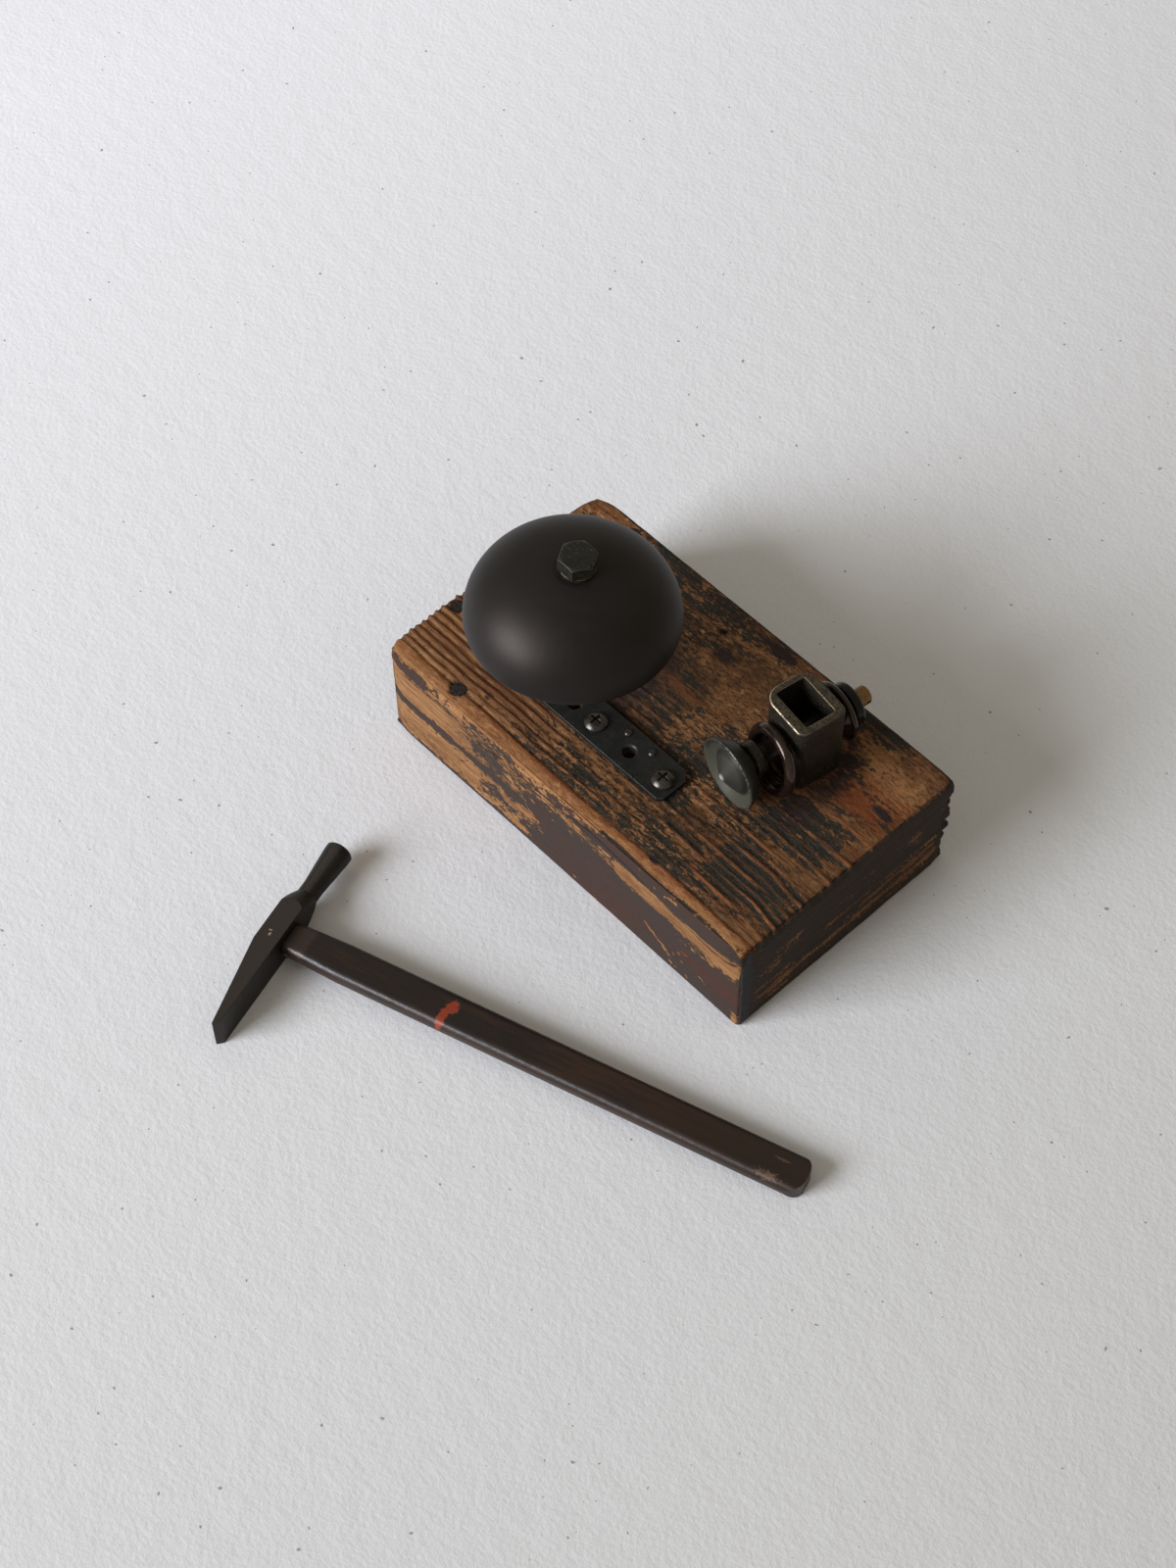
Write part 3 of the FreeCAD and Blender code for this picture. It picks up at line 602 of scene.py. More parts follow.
def rolledFlange(shape, material):
    # the rim is an arc of the roll's radius in the outline, and the hub closes the loop
    angles = np.radians(np.linspace(-98, 196, 40))
    rim = shape["roll"] * np.stack([np.cos(angles), np.sin(angles)], -1) + (shape["rimRadius"], 0)
    outline = np.concatenate([rim, shape["hub"]])
    points, index, after = turned(outline, shape["steps"], shape["outward"])
    points = (points + shape["origin"]) * mm
    over, overAfter = np.roll(index, -1, axis=0), np.roll(after, -1, axis=0)
    faces = np.stack([index, after, overAfter, over], -1).reshape(-1, 4)
    piece = addPiece("rolled_flange", points, faces, material, "loose_flange")
    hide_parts("outer_flange")
    print("flange made,", len(faces), "faces")


# the old block

blockShape = {
    "half": (74.85, 43.3, 19.0),
    "rounding": 1.4,
    "rowsX": 139,
    "stepsY": (0.43, 0.62),      # on the near half and on the far half
    "stepsZ": (1.05, 0.29),      # below the crack and round it
    "lineHeight": 0.46,
    "roughHeight": 0.36,
    "pitDepth": 0.30,
    "grooveDepth": 0.50,
    "crackDepth": 0.85,
    "teeth": (1.3, 0.9),         # at the +X end and at the -X end
    # depth and width of the wear where two sides meet
    "wear": {"frontTop": (1.0, 3.0), "endBack": (2.5, 3.2), "tailFront": (1.5, 4.2),
             "endFront": (3.6, 5.2), "tailBack": (2.4, 4.5)},
    # the latewood lines across Y
    "ringLines": (
        -44, -41.5, -38.6, -35.8, -33.2, -30.7, -28.3, -25.6, -23.1, -20.6, -17.9, -15.0, -12.3,
        -9.5, -6.7, -3.6, 0.2, 4.2, 9.2, 15.5, 23.0, 32.3, 39.2, 46),
    # x and z along the long crack in the front
    "crack": (
        (-75, 31.0), (-8, 31.0), (4, 32.6), (13, 34.2), (21, 33.6), (29, 33.2), (37, 32.1),
        (45, 30.4), (53, 29.3), (61, 28.6), (68.5, 28.9), (75, 30.6)),
    "nails": ((-71.15, -17.7), (-47.75, -38.0), (-55.05, 39.4)),
    "recess": (2.35, 1.15),      # radius and depth round a nail
    # x, y, radius and depth
    "holes": (
        (3.75, -18.3, 2.0, 3.0), (-20.2, -17.6, 2.1, 3.0), (-9.3, 33.0, 0.8, 1.6),
        (61.0, 33.5, 0.5, 1.0)),
    # box in x and y, soft width, tar added or worn away
    "tarAreas": (
        (-20, 72, -38, 4, 8, 0.09), (14, 76, -37, -11, 6, 0.06), (-8, 34, -8, 12, 4, 0.06),
        (-76, 76, 14, 45, 4, -0.06), (-76, -30, -40, -2, 6, -0.05), (-55, 5, 33, 45, 5, 0.16),
        (-25, 4, 12, 34, 5, 0.13), (46, 74, -30, -16, 3, 0.34), (44, 68, -9, 8, 3, 0.34),
        (44, 76, -15, -11, 2, -0.10), (-64, -24, -34, -17, 4, -0.22),
        (-12, 58, -38.5, -29, 2.5, 0.12), (26, 44, -22, -15, 3, -0.16), (10, 32, 13, 30, 5, -0.10),
        (66, 76, 26, 45, 4, -0.08), (-4, 18, 20, 32, 4, -0.12), (-50, 14, 38, 45, 3, 0.08),
        (-52, -28, 38, 45, 3, 0.12), (36, 56, 36, 45, 3, 0.24), (42, 56, 24, 38, 4, 0.10),
        (55, 66, -29, -21, 2, 0.20), (38, 54, 38, 45, 2, 0.22), (4, 14, 38, 45, 2, 0.20),
        (66, 76, -39, -34, 2, -0.20), (-80, 80, -46, -38.6, 0.5, -0.40)),
    # box in x and y, soft width, dullness added or taken away; the boxes at x -18 to 4 beside the
    # gong's edge and at x 36 to 54 beside the clamp add painted shade
    "grimeAndShadeAreas": (
        (38, 74, 4, 44, 8, -0.30), (-76, -40, 15, 45, 8, -0.16), (-66, -24, -34, -17, 5, -0.14),
        (-74, -38, -34.5, -28, 2, -0.32), (66, 76, -40, -34, 2, -0.30), (16, 34, 14, 20, 4, -0.30),
        (-18, 4, -12, 20, 4, 0.50), (54, 76, 12, 22, 3, 0.25), (36, 54, 7, 14, 3, 0.40),
        (-44, -16, 26, 36, 4, 0.22), (16, 24, -10, -4, 3, 0.25), (8, 75, -45, -41.5, 0.8, -0.45)),
    # centre, size and depth of each dark spot: real stains, rings round the nails and holes, and
    # painted shade beside the gong's edge (x -11) and round the socket's foot (x 43 to 51.5)
    "stainsAndShade": (
        (-3, 26.5, 4.6, 2.8, 0.75), (8, 39.5, 6.5, 2.4, 0.85), (47, 41, 3, 1.8, 0.6),
        (34.5, -38, 2.2, 1.4, 0.8), (28, -37.4, 1.2, 1.0, 0.5), (68, 19.5, 4.2, 1.5, 0.9),
        (-28, 40.5, 4, 1.5, 0.5), (20, 35, 2, 1.4, 0.35), (-39.5, -34.2, 0.9, 0.9, 0.7),
        (-71.2, -17.7, 3.2, 2.8, 0.7), (-47.8, -38, 3.4, 2.7, 0.8), (-55, 39.4, 3.2, 2.6, 0.7),
        (3.75, -18.3, 2.4, 2.4, 1.0), (-9.3, 33, 1.3, 1.1, 1.0), (43, 19, 9, 11, 0.55),
        (-11, 1, 5.5, 12, 0.55), (-11, -9, 5, 5, 0.55), (-11, 13, 4.5, 6, 0.52),
        (51, 2, 7, 9, 0.52), (51.5, 17, 6, 12, 0.56), (45, 31, 6, 4, 0.50),
        (48.5, 25.5, 6.5, 6.5, 0.62), (-18, 26, 9, 8, 0.36), (-20, 40, 18, 4, 0.34)),
    # y, width and both ends in x of each fine split along the rolled edge
    "splits": (
        (-40.9, 0.22, -70, -8), (-42.3, 0.20, -30, 30), (-41.3, 0.24, 8, 66),
        (-39.9, 0.20, 34, 70)),
    # box in x and y, soft width, redness
    "redAreas": (
        (-50, 50, -46, -39, 0.8, 0.30), (51, 74, 13.5, 26, 3.2, 1.1),
        (-12, 26, 8.2, 10.6, 1.2, 0.5), (40, 74, 3.0, 5.0, 1.2, 0.45),
        (-74, -30, 37.5, 39.5, 1.0, 0.45)),
    # box in x and z, soft width, paint added or worn away
    "frontAreas": (
        (-40, 24, 19, 30, 3, 0.28), (24, 73, 25, 30.5, 1.6, -0.42), (46, 73, 19.5, 30.5, 2, -0.30),
        (-66, 60, 31.2, 33.4, 0.8, 0.22), (-52, 8, 34.6, 37.4, 1, 0.10), (-46, -6, 3, 17, 4, 0.10),
        (22, 48, 15, 21, 2.5, 0.30), (-76, -38, 18, 30.5, 2.5, -0.13), (-76, -14, 4, 15, 2, -0.06),
        (-76, -44, 3, 13, 3, -0.10), (-34, -8, 4, 14, 4, 0.22), (-38, -24, 22, 29, 3, 0.12),
        (-24, -14, 22, 26, 2, -0.20), (10, 62, 31.0, 33.6, 0.8, 0.26), (72, 80, -2, 6, 1.2, -0.80),
        (70, 80, 33.4, 40, 1.5, -0.60)),
    # z, width, paint worn away and both ends in y of each level streak on the +X end
    "endStreaks": (
        (15.9, 1.0, 0.56, -8, 37), (18.5, 1.6, 0.26, -38, -27), (12.6, 1.1, 0.44, -37, -20),
        (12.6, 1.2, 0.56, 6, 37), (8.2, 1.7, 0.56, -37, 38), (4.4, 0.8, 0.34, -37, 36),
        (24.5, 2.2, 0.30, -30, -19), (24.0, 1.8, 0.26, 25, 31), (20.5, 1.5, 0.20, -35, -24)),
}


def boxRows(half, rounding, middle):
    # rows crowd where the edge is rounded, at equal angles round it
    angles = np.radians(np.linspace(45, 0, 5))
    edge = -half + rounding * (1 - np.tan(angles))
    return np.concatenate([edge, middle, -edge[::-1]])


def boxSkin(rows):
    # six grids over a box, each with its faces outwards; shared points are counted once
    points, faces, start = [], [], 0
    for axis in range(3):
        first, second = (axis + 1) % 3, (axis + 2) % 3
        a, b = np.meshgrid(rows[first], rows[second], indexing="ij")
        quads = gridQuads(a)
        for side in (-1, 1):
            sheet = np.empty(a.shape + (3,))
            sheet[..., axis], sheet[..., first], sheet[..., second] = rows[axis][0] * -side, a, b
            points.append(sheet.reshape(-1, 3))
            faces.append((quads if side > 0 else quads[:, ::-1]) + start)
            start += a.size
    points, faces = np.concatenate(points), np.concatenate(faces)
    once, index = np.unique(np.round(points, 5), axis=0, return_inverse=True)
    return once, index.reshape(-1)[faces]


def gridQuads(grid):
    # four corners of every cell, counted round it
    index = np.arange(grid.size).reshape(grid.shape)
    corners = index[:-1, :-1], index[1:, :-1], index[1:, 1:], index[:-1, 1:]
    return np.stack(corners, -1).reshape(-1, 4)


def topField(x, y, shape):
    # raised latewood lines over worn troughs on the near half, fading to a flat far half
    lines = shape["ringLines"]
    hook = 1.8 * ease(60, 75, x) * ease(6, -10, y)
    wave = y + hook + 1.8 * waves(x / 48, y / 30, 11) + 1.2 * waves(x / 15, y / 8, 12)
    # the growth rings are numbered from the -Y edge, each dark line at a half
    number = np.interp(wave, lines, np.arange(len(lines))) + 0.5
    ring, across = np.floor(number), number - np.floor(number)
    spacing = np.interp(wave, lines[:-1], np.diff(lines))
    near = (0.14 + 0.86 * ease(13, -3, y)) * (1 - ease(-37.6, -39.2, y))
    line = ridge((across - 0.5) * spacing, 0.55 + 0.35 * ease(10, 50, x))
    strength = ease(0.28, 0.68, clouds(x / 17, ring * 1.7, 13) + 0.14 * ease(-15, -45, x))
    strength *= 1 - 0.85 * ease(8, 40, x) * (ring % 2)
    rough = waves(x / 3.2, y / 1.0, 14)
    pits = ease(0.60, 0.72, clouds(x / 2.6, y / 1.1, 15))
    pits *= ease(0.35, 0.6, clouds(x / 15, y / 6, 16))
    line *= 0.3 + 0.7 * strength
    height = shape["lineHeight"] * line + shape["roughHeight"] * rough - shape["pitDepth"] * pits
    height = near * (height - 0.24)
    height += 0.36 * waves(x / 38, y / 24, 17) - 0.16 * (1 - near) - 0.16 * (1 - near) * pits
    # the edge roll stands a little proud of a dirty groove
    groove = y + 37.9 + 0.7 * waves(x / 20, x * 0, 18)
    height -= shape["grooveDepth"] * ridge(groove, 0.55) * ease(-76, -55, x)
    recess, sunk = shape["recess"]
    for cx, cy in shape["nails"]:
        height = np.where(np.hypot(x - cx, y - cy) < recess, -sunk, height)
    for cx, cy, radius, depth in shape["holes"]:
        height = height - depth * ease(radius * 1.15, radius * 0.8, np.hypot(x - cx, y - cy))
    grimeAndShade = 0.18 + 0.40 * ease(-60, 20, x) + 0.04 * ease(30, 70, x)
    # some of these boxes add painted shade beside the gong and the clamp
    grimeAndShade += 0.5 * waves(x / 26, y / 10, 20) + areas(x, y, shape["grimeAndShadeAreas"])
    grimeAndShade += 0.10 * ease(5, 20, y) - 0.42 * ease(-38.0, -39.6, y)
    grimeAndShade += 0.40 * near * (rough + 0.4 * pits) + 0.35 * ridge(groove, 0.8)
    return height, number, spacing, strength, grimeAndShade, near, line


def topPaint(x, y, line, shape):
    # how much old tar is left: over 0.5 it covers the wood
    left = 0.37 + 0.46 * waves(x / 8, y / 2.6, 21) + 0.40 * waves(x / 24, y / 10, 22)
    left += areas(x, y, shape["tarAreas"])
    left -= line * ease(16, 8, y) * (0.06 + 0.08 * ease(-20, -40, x) + 0.26 * ease(18, 50, x))
    # paint from the front runs a little way over the roll
    return left + 0.80 * patch(x, y, (16, 71, -47, -41.5 - 0.3 * np.sin(x / 5)), 0.4)


def topStainsAndShade(x, y, shape):
    # dark stains, painted shade and splits, and how red the wood is
    stainsAndShade = 0
    for cx, cy, width, height, depth in shape["stainsAndShade"]:
        spot = np.exp(-((x - cx) / width) ** 2 - ((y - cy) / height) ** 2)
        stainsAndShade = np.maximum(stainsAndShade, depth * spot)
    wander = waves(x / 30, x * 0, 25)
    for low, width, start, stop in shape["splits"]:
        split = ridge(y - low - wander, width)
        split *= ease(start - 4, start + 4, x) * ease(stop + 4, stop - 4, x)
        stainsAndShade = np.maximum(stainsAndShade, 0.42 * split)
    red = 0.75 * ridge(y + 38.9 - wander, 0.75) + areas(x, y, shape["redAreas"])
    return stainsAndShade, np.clip(red * (0.55 + 0.8 * clouds(x / 9, y / 5, 24)), 0, 1)


def frontField(x, z, shape):
    # a long crack under the rounded top edge, the wood a little proud above it, and faint grain
    crack = np.interp(x, *np.transpose(shape["crack"]))
    crack += 1.1 * waves(x / 40, x * 0, 31) * ease(12, -8, x)
    crack += 0.4 * waves(x / 9, x * 0, 32)
    reach = ease(-74, -70, x) * ease(74, 70, x)
    hair = ridge(z - crack + 1.5, 0.30) * ease(-52, -46, x) * ease(28, 10, x)
    grain = waves(x / 24, z / 1.1, 33)
    second = ridge(z - 17.6 + 0.02 * (x + 40), 0.5) * ease(-40, -60, x)
    height = 0.30 * ease(crack - 0.2, crack + 0.6, z) - 0.12
    height -= shape["crackDepth"] * ridge(z - crack, 0.42) * reach
    height += 0.24 * grain + 0.25 * waves(x / 50, z / 20, 34) - 0.3 * second
    return height, np.maximum(ridge(z - crack, 0.60) * reach, 0.7 * hair), grain, crack


def frontPaint(x, z, crack, shape):
    # how much paint is left on the front: over 0.5 it covers the wood
    left = 0.30 + 0.9 * (0.5 * waves(x / 7, z / 3.2, 41) + 0.4 * waves(x / 2.6, z / 1.2, 42))
    # whole towards +X
    left += 0.62 * ease(-14, -4, x + 14 * waves(x / 9, z / 4, 47)) * ease(27, 22, z)
    left += areas(x, z, shape["frontAreas"])
    stripe = 16.8 + 0.035 * (x + 75) + 1.2 * waves(x / 10, x * 0, 43)
    left += 0.70 * ridge(z - stripe, 1.5) * ease(-8, -20, x)
    left += 0.55 * ease(3.6, 1.6, z) * ease(-6, -14, x)
    band = 0.16 + 0.55 * waves(x / 16, z / 0.7, 44) + 0.20 * ease(2, 26, x)
    band += 0.34 * patch(x, z, (-73, -52, 30, 40), 3)
    left += band * patch(x, z, (-73, 74, 32.3, 36.6), 0.7)
    # whole between the crack and the roll
    above = ease(0.2, 0.9, z - crack) * ease(8, 22, x) * ease(75, 72, x)
    left += 0.40 * above - 0.5 * ease(36.4, 37.4, z) * (1 - above)
    # flakes lost all over, and one long scratch
    flakes = ease(0.66, 0.78, clouds(x / 2.2, z / 1.1, 45))
    flakes *= ease(0.42, 0.62, clouds(x / 14, z / 8, 46))
    scratch = np.abs((z - 10) + 0.62 * (x - 41)) / 1.18
    return left - 0.75 * flakes - 0.9 * ridge(scratch, 0.45) * patch(x, z, (36, 46.5, 5, 15), 0.8)


def endPaint(y, z, shape):
    # dark paint worn through along short level streaks
    left = 0.84 + 0.9 * waves(y / 9, z / 0.45, 51) * ease(-40, -36, y)
    for height, width, amount, start, stop in shape["endStreaks"]:
        fray = 0.55 + 0.9 * clouds(y / 6, z * 0, 52 + round(height))
        left -= amount * fray * ridge(z - height, width) * patch(y, z, (start, stop, 0, 40), 2)
    return left - 0.5 * patch(y, z, (-45, -36, 34, 40), 1.5)


def blockPoints(shape):
    # point = nearest point of the box less its rounding, plus the rounding outwards
    half, rounding = np.array(shape["half"]), shape["rounding"]
    (nearStep, farStep), (lowStep, highStep) = shape["stepsY"], shape["stepsZ"]
    middles = (
        np.linspace(-half[0] + rounding + 1, half[0] - rounding - 1, shape["rowsX"]),
        np.concatenate([np.arange(-half[1] + rounding + 0.4, 2, nearStep),
                        np.arange(2.4, half[1] - rounding - 0.3, farStep)]),
        np.concatenate([np.arange(3.5, 27.6, lowStep), np.arange(28.0, 35.2, highStep)]) - half[2],
    )
    sharp, faces = boxSkin([boxRows(size, rounding, middle) for size, middle in zip(half, middles)])
    inner = np.clip(sharp, rounding - half, half - rounding)
    away = sharp - inner
    outward = away / np.linalg.norm(away, axis=1, keepdims=True)
    points = inner + rounding * outward
    points[:, 2] += half[2]
    return points, outward, faces


def woodBlock(shape, material):
    # every point moves outwards by its face's height, less what its edges and corners have lost
    points, outward, faces = blockPoints(shape)
    x, y, z = points.T
    end, back, up = np.clip(outward.T, 0, 1)
    tail, front, down = np.clip(-outward.T, 0, 1)
    topHeight, number, spacing, strength, grimeAndShade, near, line = topField(x, y, shape)
    frontHeight, cut, frontGrain, crack = frontField(x, z, shape)
    endGrain = waves(y / 11, z / 1.3, 62)
    topShare = ease(0.55, 0.85, up)
    height = topHeight * topShare + frontHeight * ease(0.55, 0.85, front)
    height += 0.3 * waves(x / 26, z / 1.4, 61) * ease(0.5, 0.9, back)
    height += (0.34 * endGrain - 0.1) * ease(0.5, 0.9, end)
    height += (0.3 * endGrain - 0.1) * ease(0.5, 0.9, tail)
    chips = ease(0.50, 0.72, clouds((x + y) / 3.1, (z - y) / 2.3, 63))
    corner = 1 - np.abs(outward).max(axis=1)
    height -= corner * (0.9 * chips + 0.9 * clouds((x - y) / 9, z / 7, 64))
    # distances to the sides and the top, summed where two or three of them meet
    halfX, halfY, halfZ = shape["half"]
    toEnd, toTail, toBack, toFront = halfX - x, halfX + x, halfY - y, halfY + y
    toTop = 2 * halfZ - z
    rag = ease(0.28, 0.68, clouds(z / 2.7, z * 0 + y / 30, 65))
    for name, distance in (
            ("frontTop", toFront + toTop), ("endBack", toEnd + toBack),
            ("tailFront", toTail + toFront),
            ("endFront", toEnd + toFront + 0.50 * np.maximum(37 - z, 0)),
            ("tailBack", toTail + toBack + 0.4 * toTop)):
        depth, width = shape["wear"][name]
        height -= depth * ridge(distance, width) * (rag if name == "endBack" else 1)
    # worn troughs run out over both ends, so the latewood lines end in teeth
    teeth = (1 - line) * near * (0.5 + 0.8 * clouds(y / 3.5, y * 0, 69))
    height -= teeth * (shape["teeth"][0] * end + shape["teeth"][1] * tail) * ridge(toTop, 3.0)
    height -= 0.5 * teeth * topShare * ridge(halfX - np.abs(x), 2.5)
    height *= ease(-0.02, 0.25, 1 - down)
    points = points + outward * height[:, None]
    points[:, 2] = np.maximum(points[:, 2], 0.0)

    stainsAndShade, red = topStainsAndShade(x, y, shape)
    paint = topPaint(x, y, line, shape) * up + frontPaint(x, z, crack, shape) * front
    paint += endPaint(y, z, shape) * end + (0.55 + 0.5 * waves(x / 9, z / 4, 66)) * back
    paint += (0.62 + 0.5 * waves(y / 8, z / 4, 67)) * tail + 0.35 * down
    paint /= up + front + end + back + tail + down
    sideLine = 0.6 * ridge(frontGrain - 0.12, 0.05) * front
    redLine = ridge(z - 17.6 - 0.4 * np.sin(x / 9), 0.7) * patch(x, z, (-12, 36, 0, 40), 4)
    redLine = np.maximum(redLine, patch(x, z, (50, 74, 11.5, 15.5), 1.6))
    grimeAndShade = grimeAndShade * up + (0.22 + 0.6 * waves(x / 18, z / 6, 68)) * front
    grimeAndShade += 0.45 * (end + back + tail)
    streaky = (near + (1 - up)) * (1 - 0.65 * patch(x, y, (-10, 40, -50, 5), 10) * up)
    topLine = 0.35 + 0.65 * np.maximum(ease(24, 52, x), ease(0, -30, x))
    topLine *= 0.15 + 0.85 * strength
    topLine *= ease(0.6, 0.9, up) * (0.45 + 0.55 * near) * ease(-38.0, -37.2, y)
    stainAndShade, redness = stainsAndShade * up + cut * front, red * up + 0.8 * redLine * front
    piece = addPiece("old_block", points * mm, faces, material, "base")
    for name, values in (
            ("layers", np.clip((paint, sideLine, stainAndShade, redness), 0, 1)),
            ("depths", np.clip((grimeAndShade, ease(0.5, 0.8, up), front, streaky), 0, 1)),
            ("growth", np.stack([number, spacing, topLine, ease(20, 60, x)]))):
        layer = piece.data.attributes.new(name, "FLOAT_COLOR", "POINT")
        layer.data.foreach_set("color", values.T.astype(np.float32).ravel())
    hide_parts("wood_block")
    print("block made,", len(faces), "faces")


pineLook = {
    "honey": (0.260, 0.119, 0.045),
    "honeyDark": (0.145, 0.058, 0.021),
    # dull tones for grime and for painted shade
    "grimeAndShadeTone": (0.105, 0.050, 0.021),
    "grimeAndShadeDarkTone": (0.045, 0.022, 0.010),
    "pale": (0.400, 0.215, 0.098),
    "chip": (0.260, 0.145, 0.066),
    # dark grain, and painted shade beside the latewood lines
    "crevice": (0.050, 0.021, 0.010),
    "line": (0.105, 0.030, 0.011),       # latewood, redder and brighter towards +X
    "lineBright": (0.250, 0.090, 0.030),
    "red": (0.145, 0.033, 0.008),
    # real stains, and painted shade beside the gong and round the socket
    "stainAndShade": (0.024, 0.014, 0.012),
    "tar": (0.0180, 0.0150, 0.0110),
    "tarGrey": (0.034, 0.030, 0.022),
    "paint": (0.042, 0.0300, 0.0245),
    "paintRed": (0.052, 0.0260, 0.0190),
    "paintRedder": (0.075, 0.022, 0.015),
    "endPaint": (0.034, 0.0226, 0.0168),
    "endStrip": (0.034, 0.0335, 0.0350),
    "frontHoney": (0.400, 0.205, 0.078),
    "rough": (0.55, 0.85),
    "depth": 0.00030,
    "gloss": 0.14,
}


def channels(tree, name):
    # the four values that one of the piece's attributes holds
    held = add(tree, "ShaderNodeAttribute", attribute_name=name)
    split = add(tree, "ShaderNodeSeparateColor", {0: held.outputs["Color"]})
    return (*split.outputs, held.outputs["Alpha"])


def agedPine(look):
    # wood under grime and painted shade, latewood lines with painted shade beside them, worn paint
    # or tar, and stains
    material, tree, shader, place = startFinish("agedPine")
    paint, sideLine, stainAndShade, red = channels(tree, "layers")
    grimeAndShade, top, front, near = channels(tree, "depths")
    number, spacing, topLine, right = channels(tree, "growth")

    fibre = fibres(tree, place, (90.0, 1500.0, 1500.0), 4.0, 0.65)
    fleck = fibres(tree, place, (430.0, 1000.0, 1000.0), 5.0, 0.70)
    blot = fibres(tree, place, (120.0, 420.0, 420.0), 4.0, 0.65)
    broad = fibres(tree, place, (22.0, 90.0, 90.0), 3.0, 0.55)
    crumb = fibres(tree, place, (1000.0, 1900.0, 1900.0), 3.0, 0.7)
    mottle = fibres(tree, place, (300.0, 560.0, 560.0), 5.0, 0.68, 0.8)
    # fine streaks where the grain stands up, mottled where it is worn flat
    grain = timesPlus(tree, combine(tree, "SUBTRACT", fibre, mottle), near, mottle)

    # distance in mm from the latewood line = |fraction of the ring - 1/2| x spacing
    number = combine(tree, "FRACT", shaken(tree, number, blot, 0.22), 0.0)
    across = combine(tree, "ABSOLUTE", combine(tree, "SUBTRACT", number, 0.5), 0.0)
    distance = times(tree, across, spacing, timesPlus(tree, right, -0.40, 1.0))
    line = times(tree, below(tree, distance, 0.14, 0.46), topLine, between(tree, fleck, 0.30, 0.52))
    # painted shade in a band beside each raised latewood line
    lineShade = times(tree, below(tree, distance, 0.35, 1.1), topLine, near)

    clean = blend(tree, between(tree, broad, 0.34, 0.66), look["honeyDark"], look["honey"])
    paler = times(tree, between(tree, grain, 0.50, 0.70), timesPlus(tree, right, -0.55, 1.0))
    clean = blend(tree, paler, clean, look["pale"])
    clean = blend(tree, times(tree, front, 0.35), clean, look["frontHoney"])
    dull = blend(tree, between(tree, grain, 0.40, 0.60), look["grimeAndShadeDarkTone"], look["grimeAndShadeTone"])
    # dulled by grime, and by painted shade beside the gong and the clamp
    dulled = shaken(tree, shaken(tree, grimeAndShade, fleck, 1.6), crumb, 0.9)
    colour = blend(tree, between(tree, dulled, 0.15, 0.85), clean, dull)
    chips = times(tree, between(tree, crumb, 0.58, 0.66), near)
    redShare = times(tree, red, between(tree, fleck, 0.25, 0.60))
    for zone, share, name in (
            (chips, 0.55, "chip"), (between(tree, grain, 0.46, 0.34), 0.45, "crevice"),
            (lineShade, 0.60, "crevice"), (sideLine, 0.75, "line"), (redShare, 0.85, "red")):
        colour = blend(tree, times(tree, zone, share), colour, look[name])

    edge = shaken(tree, shaken(tree, shaken(tree, paint, fleck, 1.25), crumb, 0.70), blot, 0.55)
    cover = between(tree, edge, 0.46, 0.52)
    coat = blend(tree, between(tree, broad, 0.42, 0.7), look["paint"], look["paintRed"])
    alongX, alongY, _ = parts(tree, place)
    strip = between(tree, alongX, 0.0720, 0.0730)
    strip = times(tree, strip, below(tree, alongY, -0.0392, -0.0384))
    coat = blend(tree, front, blend(tree, strip, look["endPaint"], look["endStrip"]), coat)
    coat = blend(tree, times(tree, red, 0.7), coat, look["paintRedder"])
    tar = blend(tree, between(tree, crumb, 0.45, 0.62), look["tar"], look["tarGrey"])
    colour = blend(tree, cover, colour, blend(tree, top, coat, tar))
    lineColour = blend(tree, right, look["line"], look["lineBright"])
    colour = blend(tree, times(tree, line, 0.9), colour, lineColour)
    # darker where the stain channel is high: real stains, and painted shade beside the gong and
    # round the socket
    stainAndShadeShare = timesPlus(tree, fleck, 0.8, combine(tree, "SUBTRACT", stainAndShade, 0.40))
    colour = blend(tree, between(tree, stainAndShadeShare, 0.15, 0.60), colour, look["stainAndShade"])

    rough = rescaled(tree, fleck, *look["rough"])
    height = combine(tree, "ADD", grain, fleck)
    for part, share in ((line, 0.7), (crumb, 0.6), (cover, 0.35)):
        height = timesPlus(tree, part, share, height)
    normal = relief(tree, height, look["depth"])
    feed(tree, shader, look["gloss"], Base_Color=colour, Roughness=rough, Normal=normal)
    return material


# the hammer's handle

handleLook = {
    "origin": (-0.032876, -0.118250, 0.0),   # middle of the handle at the head's cheek
    "yaw": 18.9,
    "dark": (0.0140, 0.0082, 0.0070),
    "brown": (0.0270, 0.0115, 0.0055),
    "side": (0.0330, 0.0165, 0.0100),
    "end": (0.0150, 0.0058, 0.0028),
    "grain": (0.0080, 0.0050, 0.0042),
    "bare": (0.160, 0.098, 0.058),
    "shoulder": (0.060, 0.038, 0.028),
    "orange": (0.260, 0.036, 0.012),
    # centre and size in mm, share of bare wood, and where it starts to fade
    "bareSpots": (
        ((155.0, -5.2, 7.6), (5.2, 2.4, 3.0), 0.6, 0.5),
        ((33.0, -5.2, 9.0), (9.0, 0.7, 0.7), 0.5, 0.6),
        ((74.0, -5.3, 8.5), (2.5, 0.7, 0.7), 0.5, 0.6),
        ((96.0, -5.3, 8.0), (3.0, 0.6, 0.7), 0.5, 0.6),
        ((5.0, -5.0, 8.5), (3.0, 0.8, 1.0), 0.8, 0.6),
        ((157.0, 1.5, 6.0), (3.0, 0.5, 1.5), 0.3, 0.6)),
    "smears": (((53.6, 0.6, 8.6), (1.9, 2.6, 3.0)), ((52.2, -3.4, 7.8), (1.5, 4.4, 4.2))),
    "grainDepth": 0.00006,
    "dentDepth": 0.00012,
    "rough": (0.24, 0.46),
    "gloss": 0.42,
}


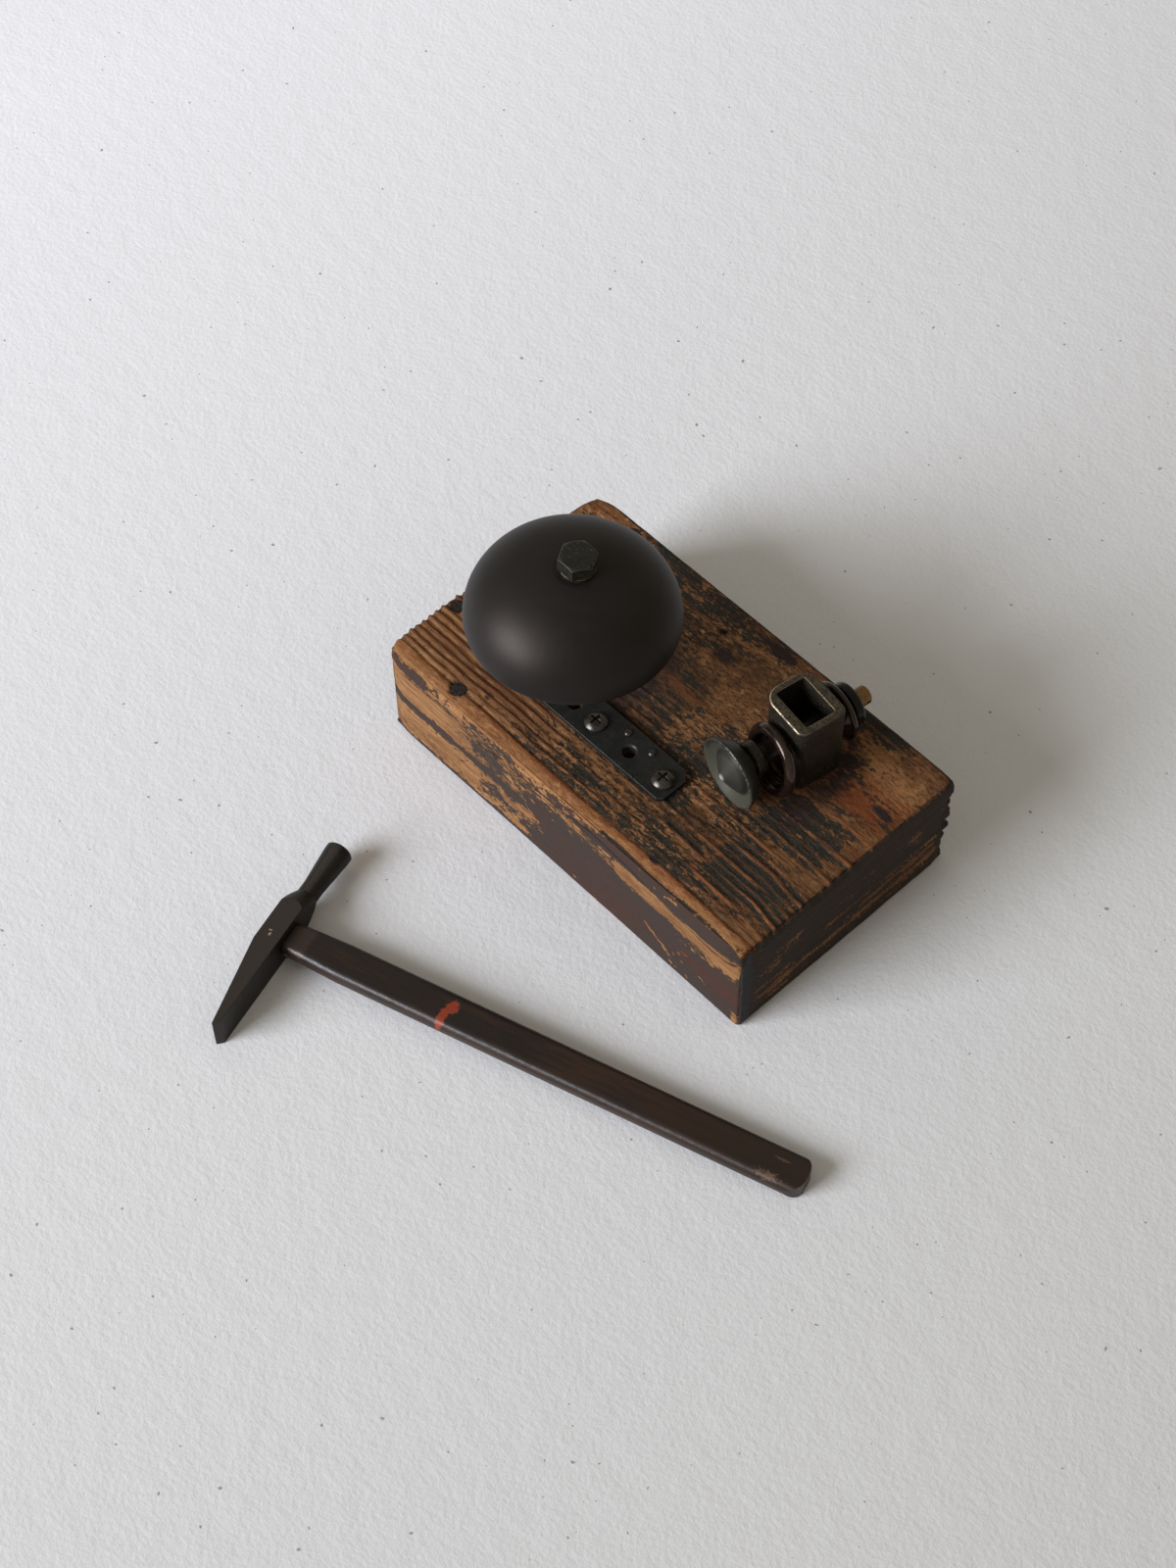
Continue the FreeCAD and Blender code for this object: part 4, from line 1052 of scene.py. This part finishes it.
def handleFinish(look):
    # two browns along the grain, paler on the -Y side, with bare spots and an orange smear
    material, tree, shader, place = startFinish("handleWood")
    own = ownFrame(tree, place, look)
    along, across, _ = parts(tree, own)
    grain = fibres(tree, own, (0.06, 0.95, 0.95), 5.0, 0.65)
    soft = fibres(tree, own, (0.035, 0.16, 0.16), 3.0, 0.6)
    dents = fibres(tree, own, (0.35, 0.7, 0.7), 2.0, 0.5)
    fine = cloud(tree, own, 1.1, 4.0, 0.7)
    browner = timesPlus(tree, between(tree, along, 55.0, 100.0), 0.16, soft)
    colour = blend(tree, between(tree, browner, 0.47, 0.66), look["dark"], look["brown"])
    side = below(tree, across, -5.8, -4.6)
    cheek = between(tree, shaken(tree, along, fine, 4.0), 8.0, 6.2)
    for zone, share, name in (
            (side, rescaled(tree, soft, 0.2, 1.2), "side"),
            (between(tree, grain, 0.55, 0.40), 0.6, "grain"),
            (between(tree, along, 90.0, 150.0), 0.70, "end"), (cheek, 0.35, "shoulder")):
        colour = blend(tree, times(tree, zone, share), colour, look[name])
    for centre, size, share, inner in look["bareSpots"]:
        worn = blob(tree, own, centre, size, fine, inner, 1.1)
        colour = blend(tree, times(tree, worn, share), colour, look["bare"])
    smears = [blob(tree, own, centre, size, fine) for centre, size in look["smears"]]
    smear = combine(tree, "MAXIMUM", *smears)
    smear = times(tree, smear, rescaled(tree, grain, 0.55, 1.15))
    colour = blend(tree, smear, colour, look["orange"])
    normal = relief(tree, grain, look["grainDepth"], 0.5)
    normal = relief(tree, dents, look["dentDepth"], 0.6, normal)
    rough = timesPlus(tree, fine, 0.3, times(tree, soft, 0.7))
    rough = rescaled(tree, rough, *look["rough"])
    feed(tree, shader, look["gloss"], Base_Color=colour, Roughness=rough, Normal=normal)
    return material


# the floor, with light painted across it

floorLook = {
    "size": 3.0,
    "rows": 31,
    "drop": 0.00005,               # keeps it just under the pieces
    "light": (0.900, 0.897, 0.940),
    "dark": (0.500, 0.495, 0.475),
    "speck": (0.20, 0.18, 0.16),
    "level": 0.485,                # share of the light colour at the origin
    "slope": (-1.16, 0.22, 0.0),   # and how it changes along X and Y
    "bend": (0.35, -0.60, 0.0),    # and with their squares
    "twist": -1.20,                # and with their product
    "depth": 0.00030,
    "rough": 0.7,
    "gloss": 0.2,
}


def addFloor(look):
    # a flat grid, painted level + slope . (x, y) + bend . (x^2, y^2) + twist x y: painted light,
    # falling off across the floor
    steps = np.linspace(-look["size"] / 2, look["size"] / 2, look["rows"])
    a, b = np.meshgrid(steps, steps, indexing="ij")
    points = np.stack([a.ravel(), b.ravel(), np.full(a.size, -look["drop"])], -1)
    material, tree, shader, place = startFinish("floorWithPaintedLight")
    dapple = cloud(tree, place, 620.0, 3.0, 0.6)
    roll = cloud(tree, place, 130.0, 2.0, 0.5)
    specks = between(tree, cloud(tree, place, 420.0, 1.0, 0.4), 0.770, 0.790)
    share = look["level"]
    squares = vectorMath(tree, "MULTIPLY", place, place)
    for vector, factors in ((place, look["slope"]), (squares, look["bend"])):
        part = vectorMath(tree, "DOT_PRODUCT", vector, factors, "Value")
        share = combine(tree, "ADD", part, share)
    alongX, alongY, _ = parts(tree, place)
    share = timesPlus(tree, times(tree, alongX, alongY), look["twist"], share)
    share = add(tree, "ShaderNodeClamp", {"Value": share}).outputs[0]
    # painted light: the colour runs from the lit tone to the dark one as the light falls off
    colour = blend(tree, share, look["dark"], look["light"])
    colour = blend(tree, times(tree, specks, 0.75), colour, look["speck"])
    normal = relief(tree, combine(tree, "ADD", dapple, times(tree, roll, 1.2)), look["depth"], 0.65)
    feed(tree, shader, look["gloss"], Base_Color=colour, Roughness=look["rough"], Normal=normal)
    quads = gridQuads(a)
    addPiece("floor", points, quads, material, None)


# putting it together

bpy.context.scene.view_settings.view_transform = "Standard"
addCamera(cameraSetup)
addLight(lightSetup)
addFloor(floorLook)
print("camera, light and floor set")

finishes = {}
for name, look in metalLooks.items():
    look = {**metalDefaults, **look}
    finishes[name] = metalFinish(name, look, zonesOf.get(name))
    for node in look["nodes"]:
        coverNode(node, finishes[name])
coverNode("hammer_handle", handleFinish(handleLook))
print("metal and handle finishes set")

turnedKnob(knobShape, finishes["knobSteel"])
rolledFlange(flangeShape, finishes["flangeBrass"])
woodBlock(blockShape, agedPine(pineLook))
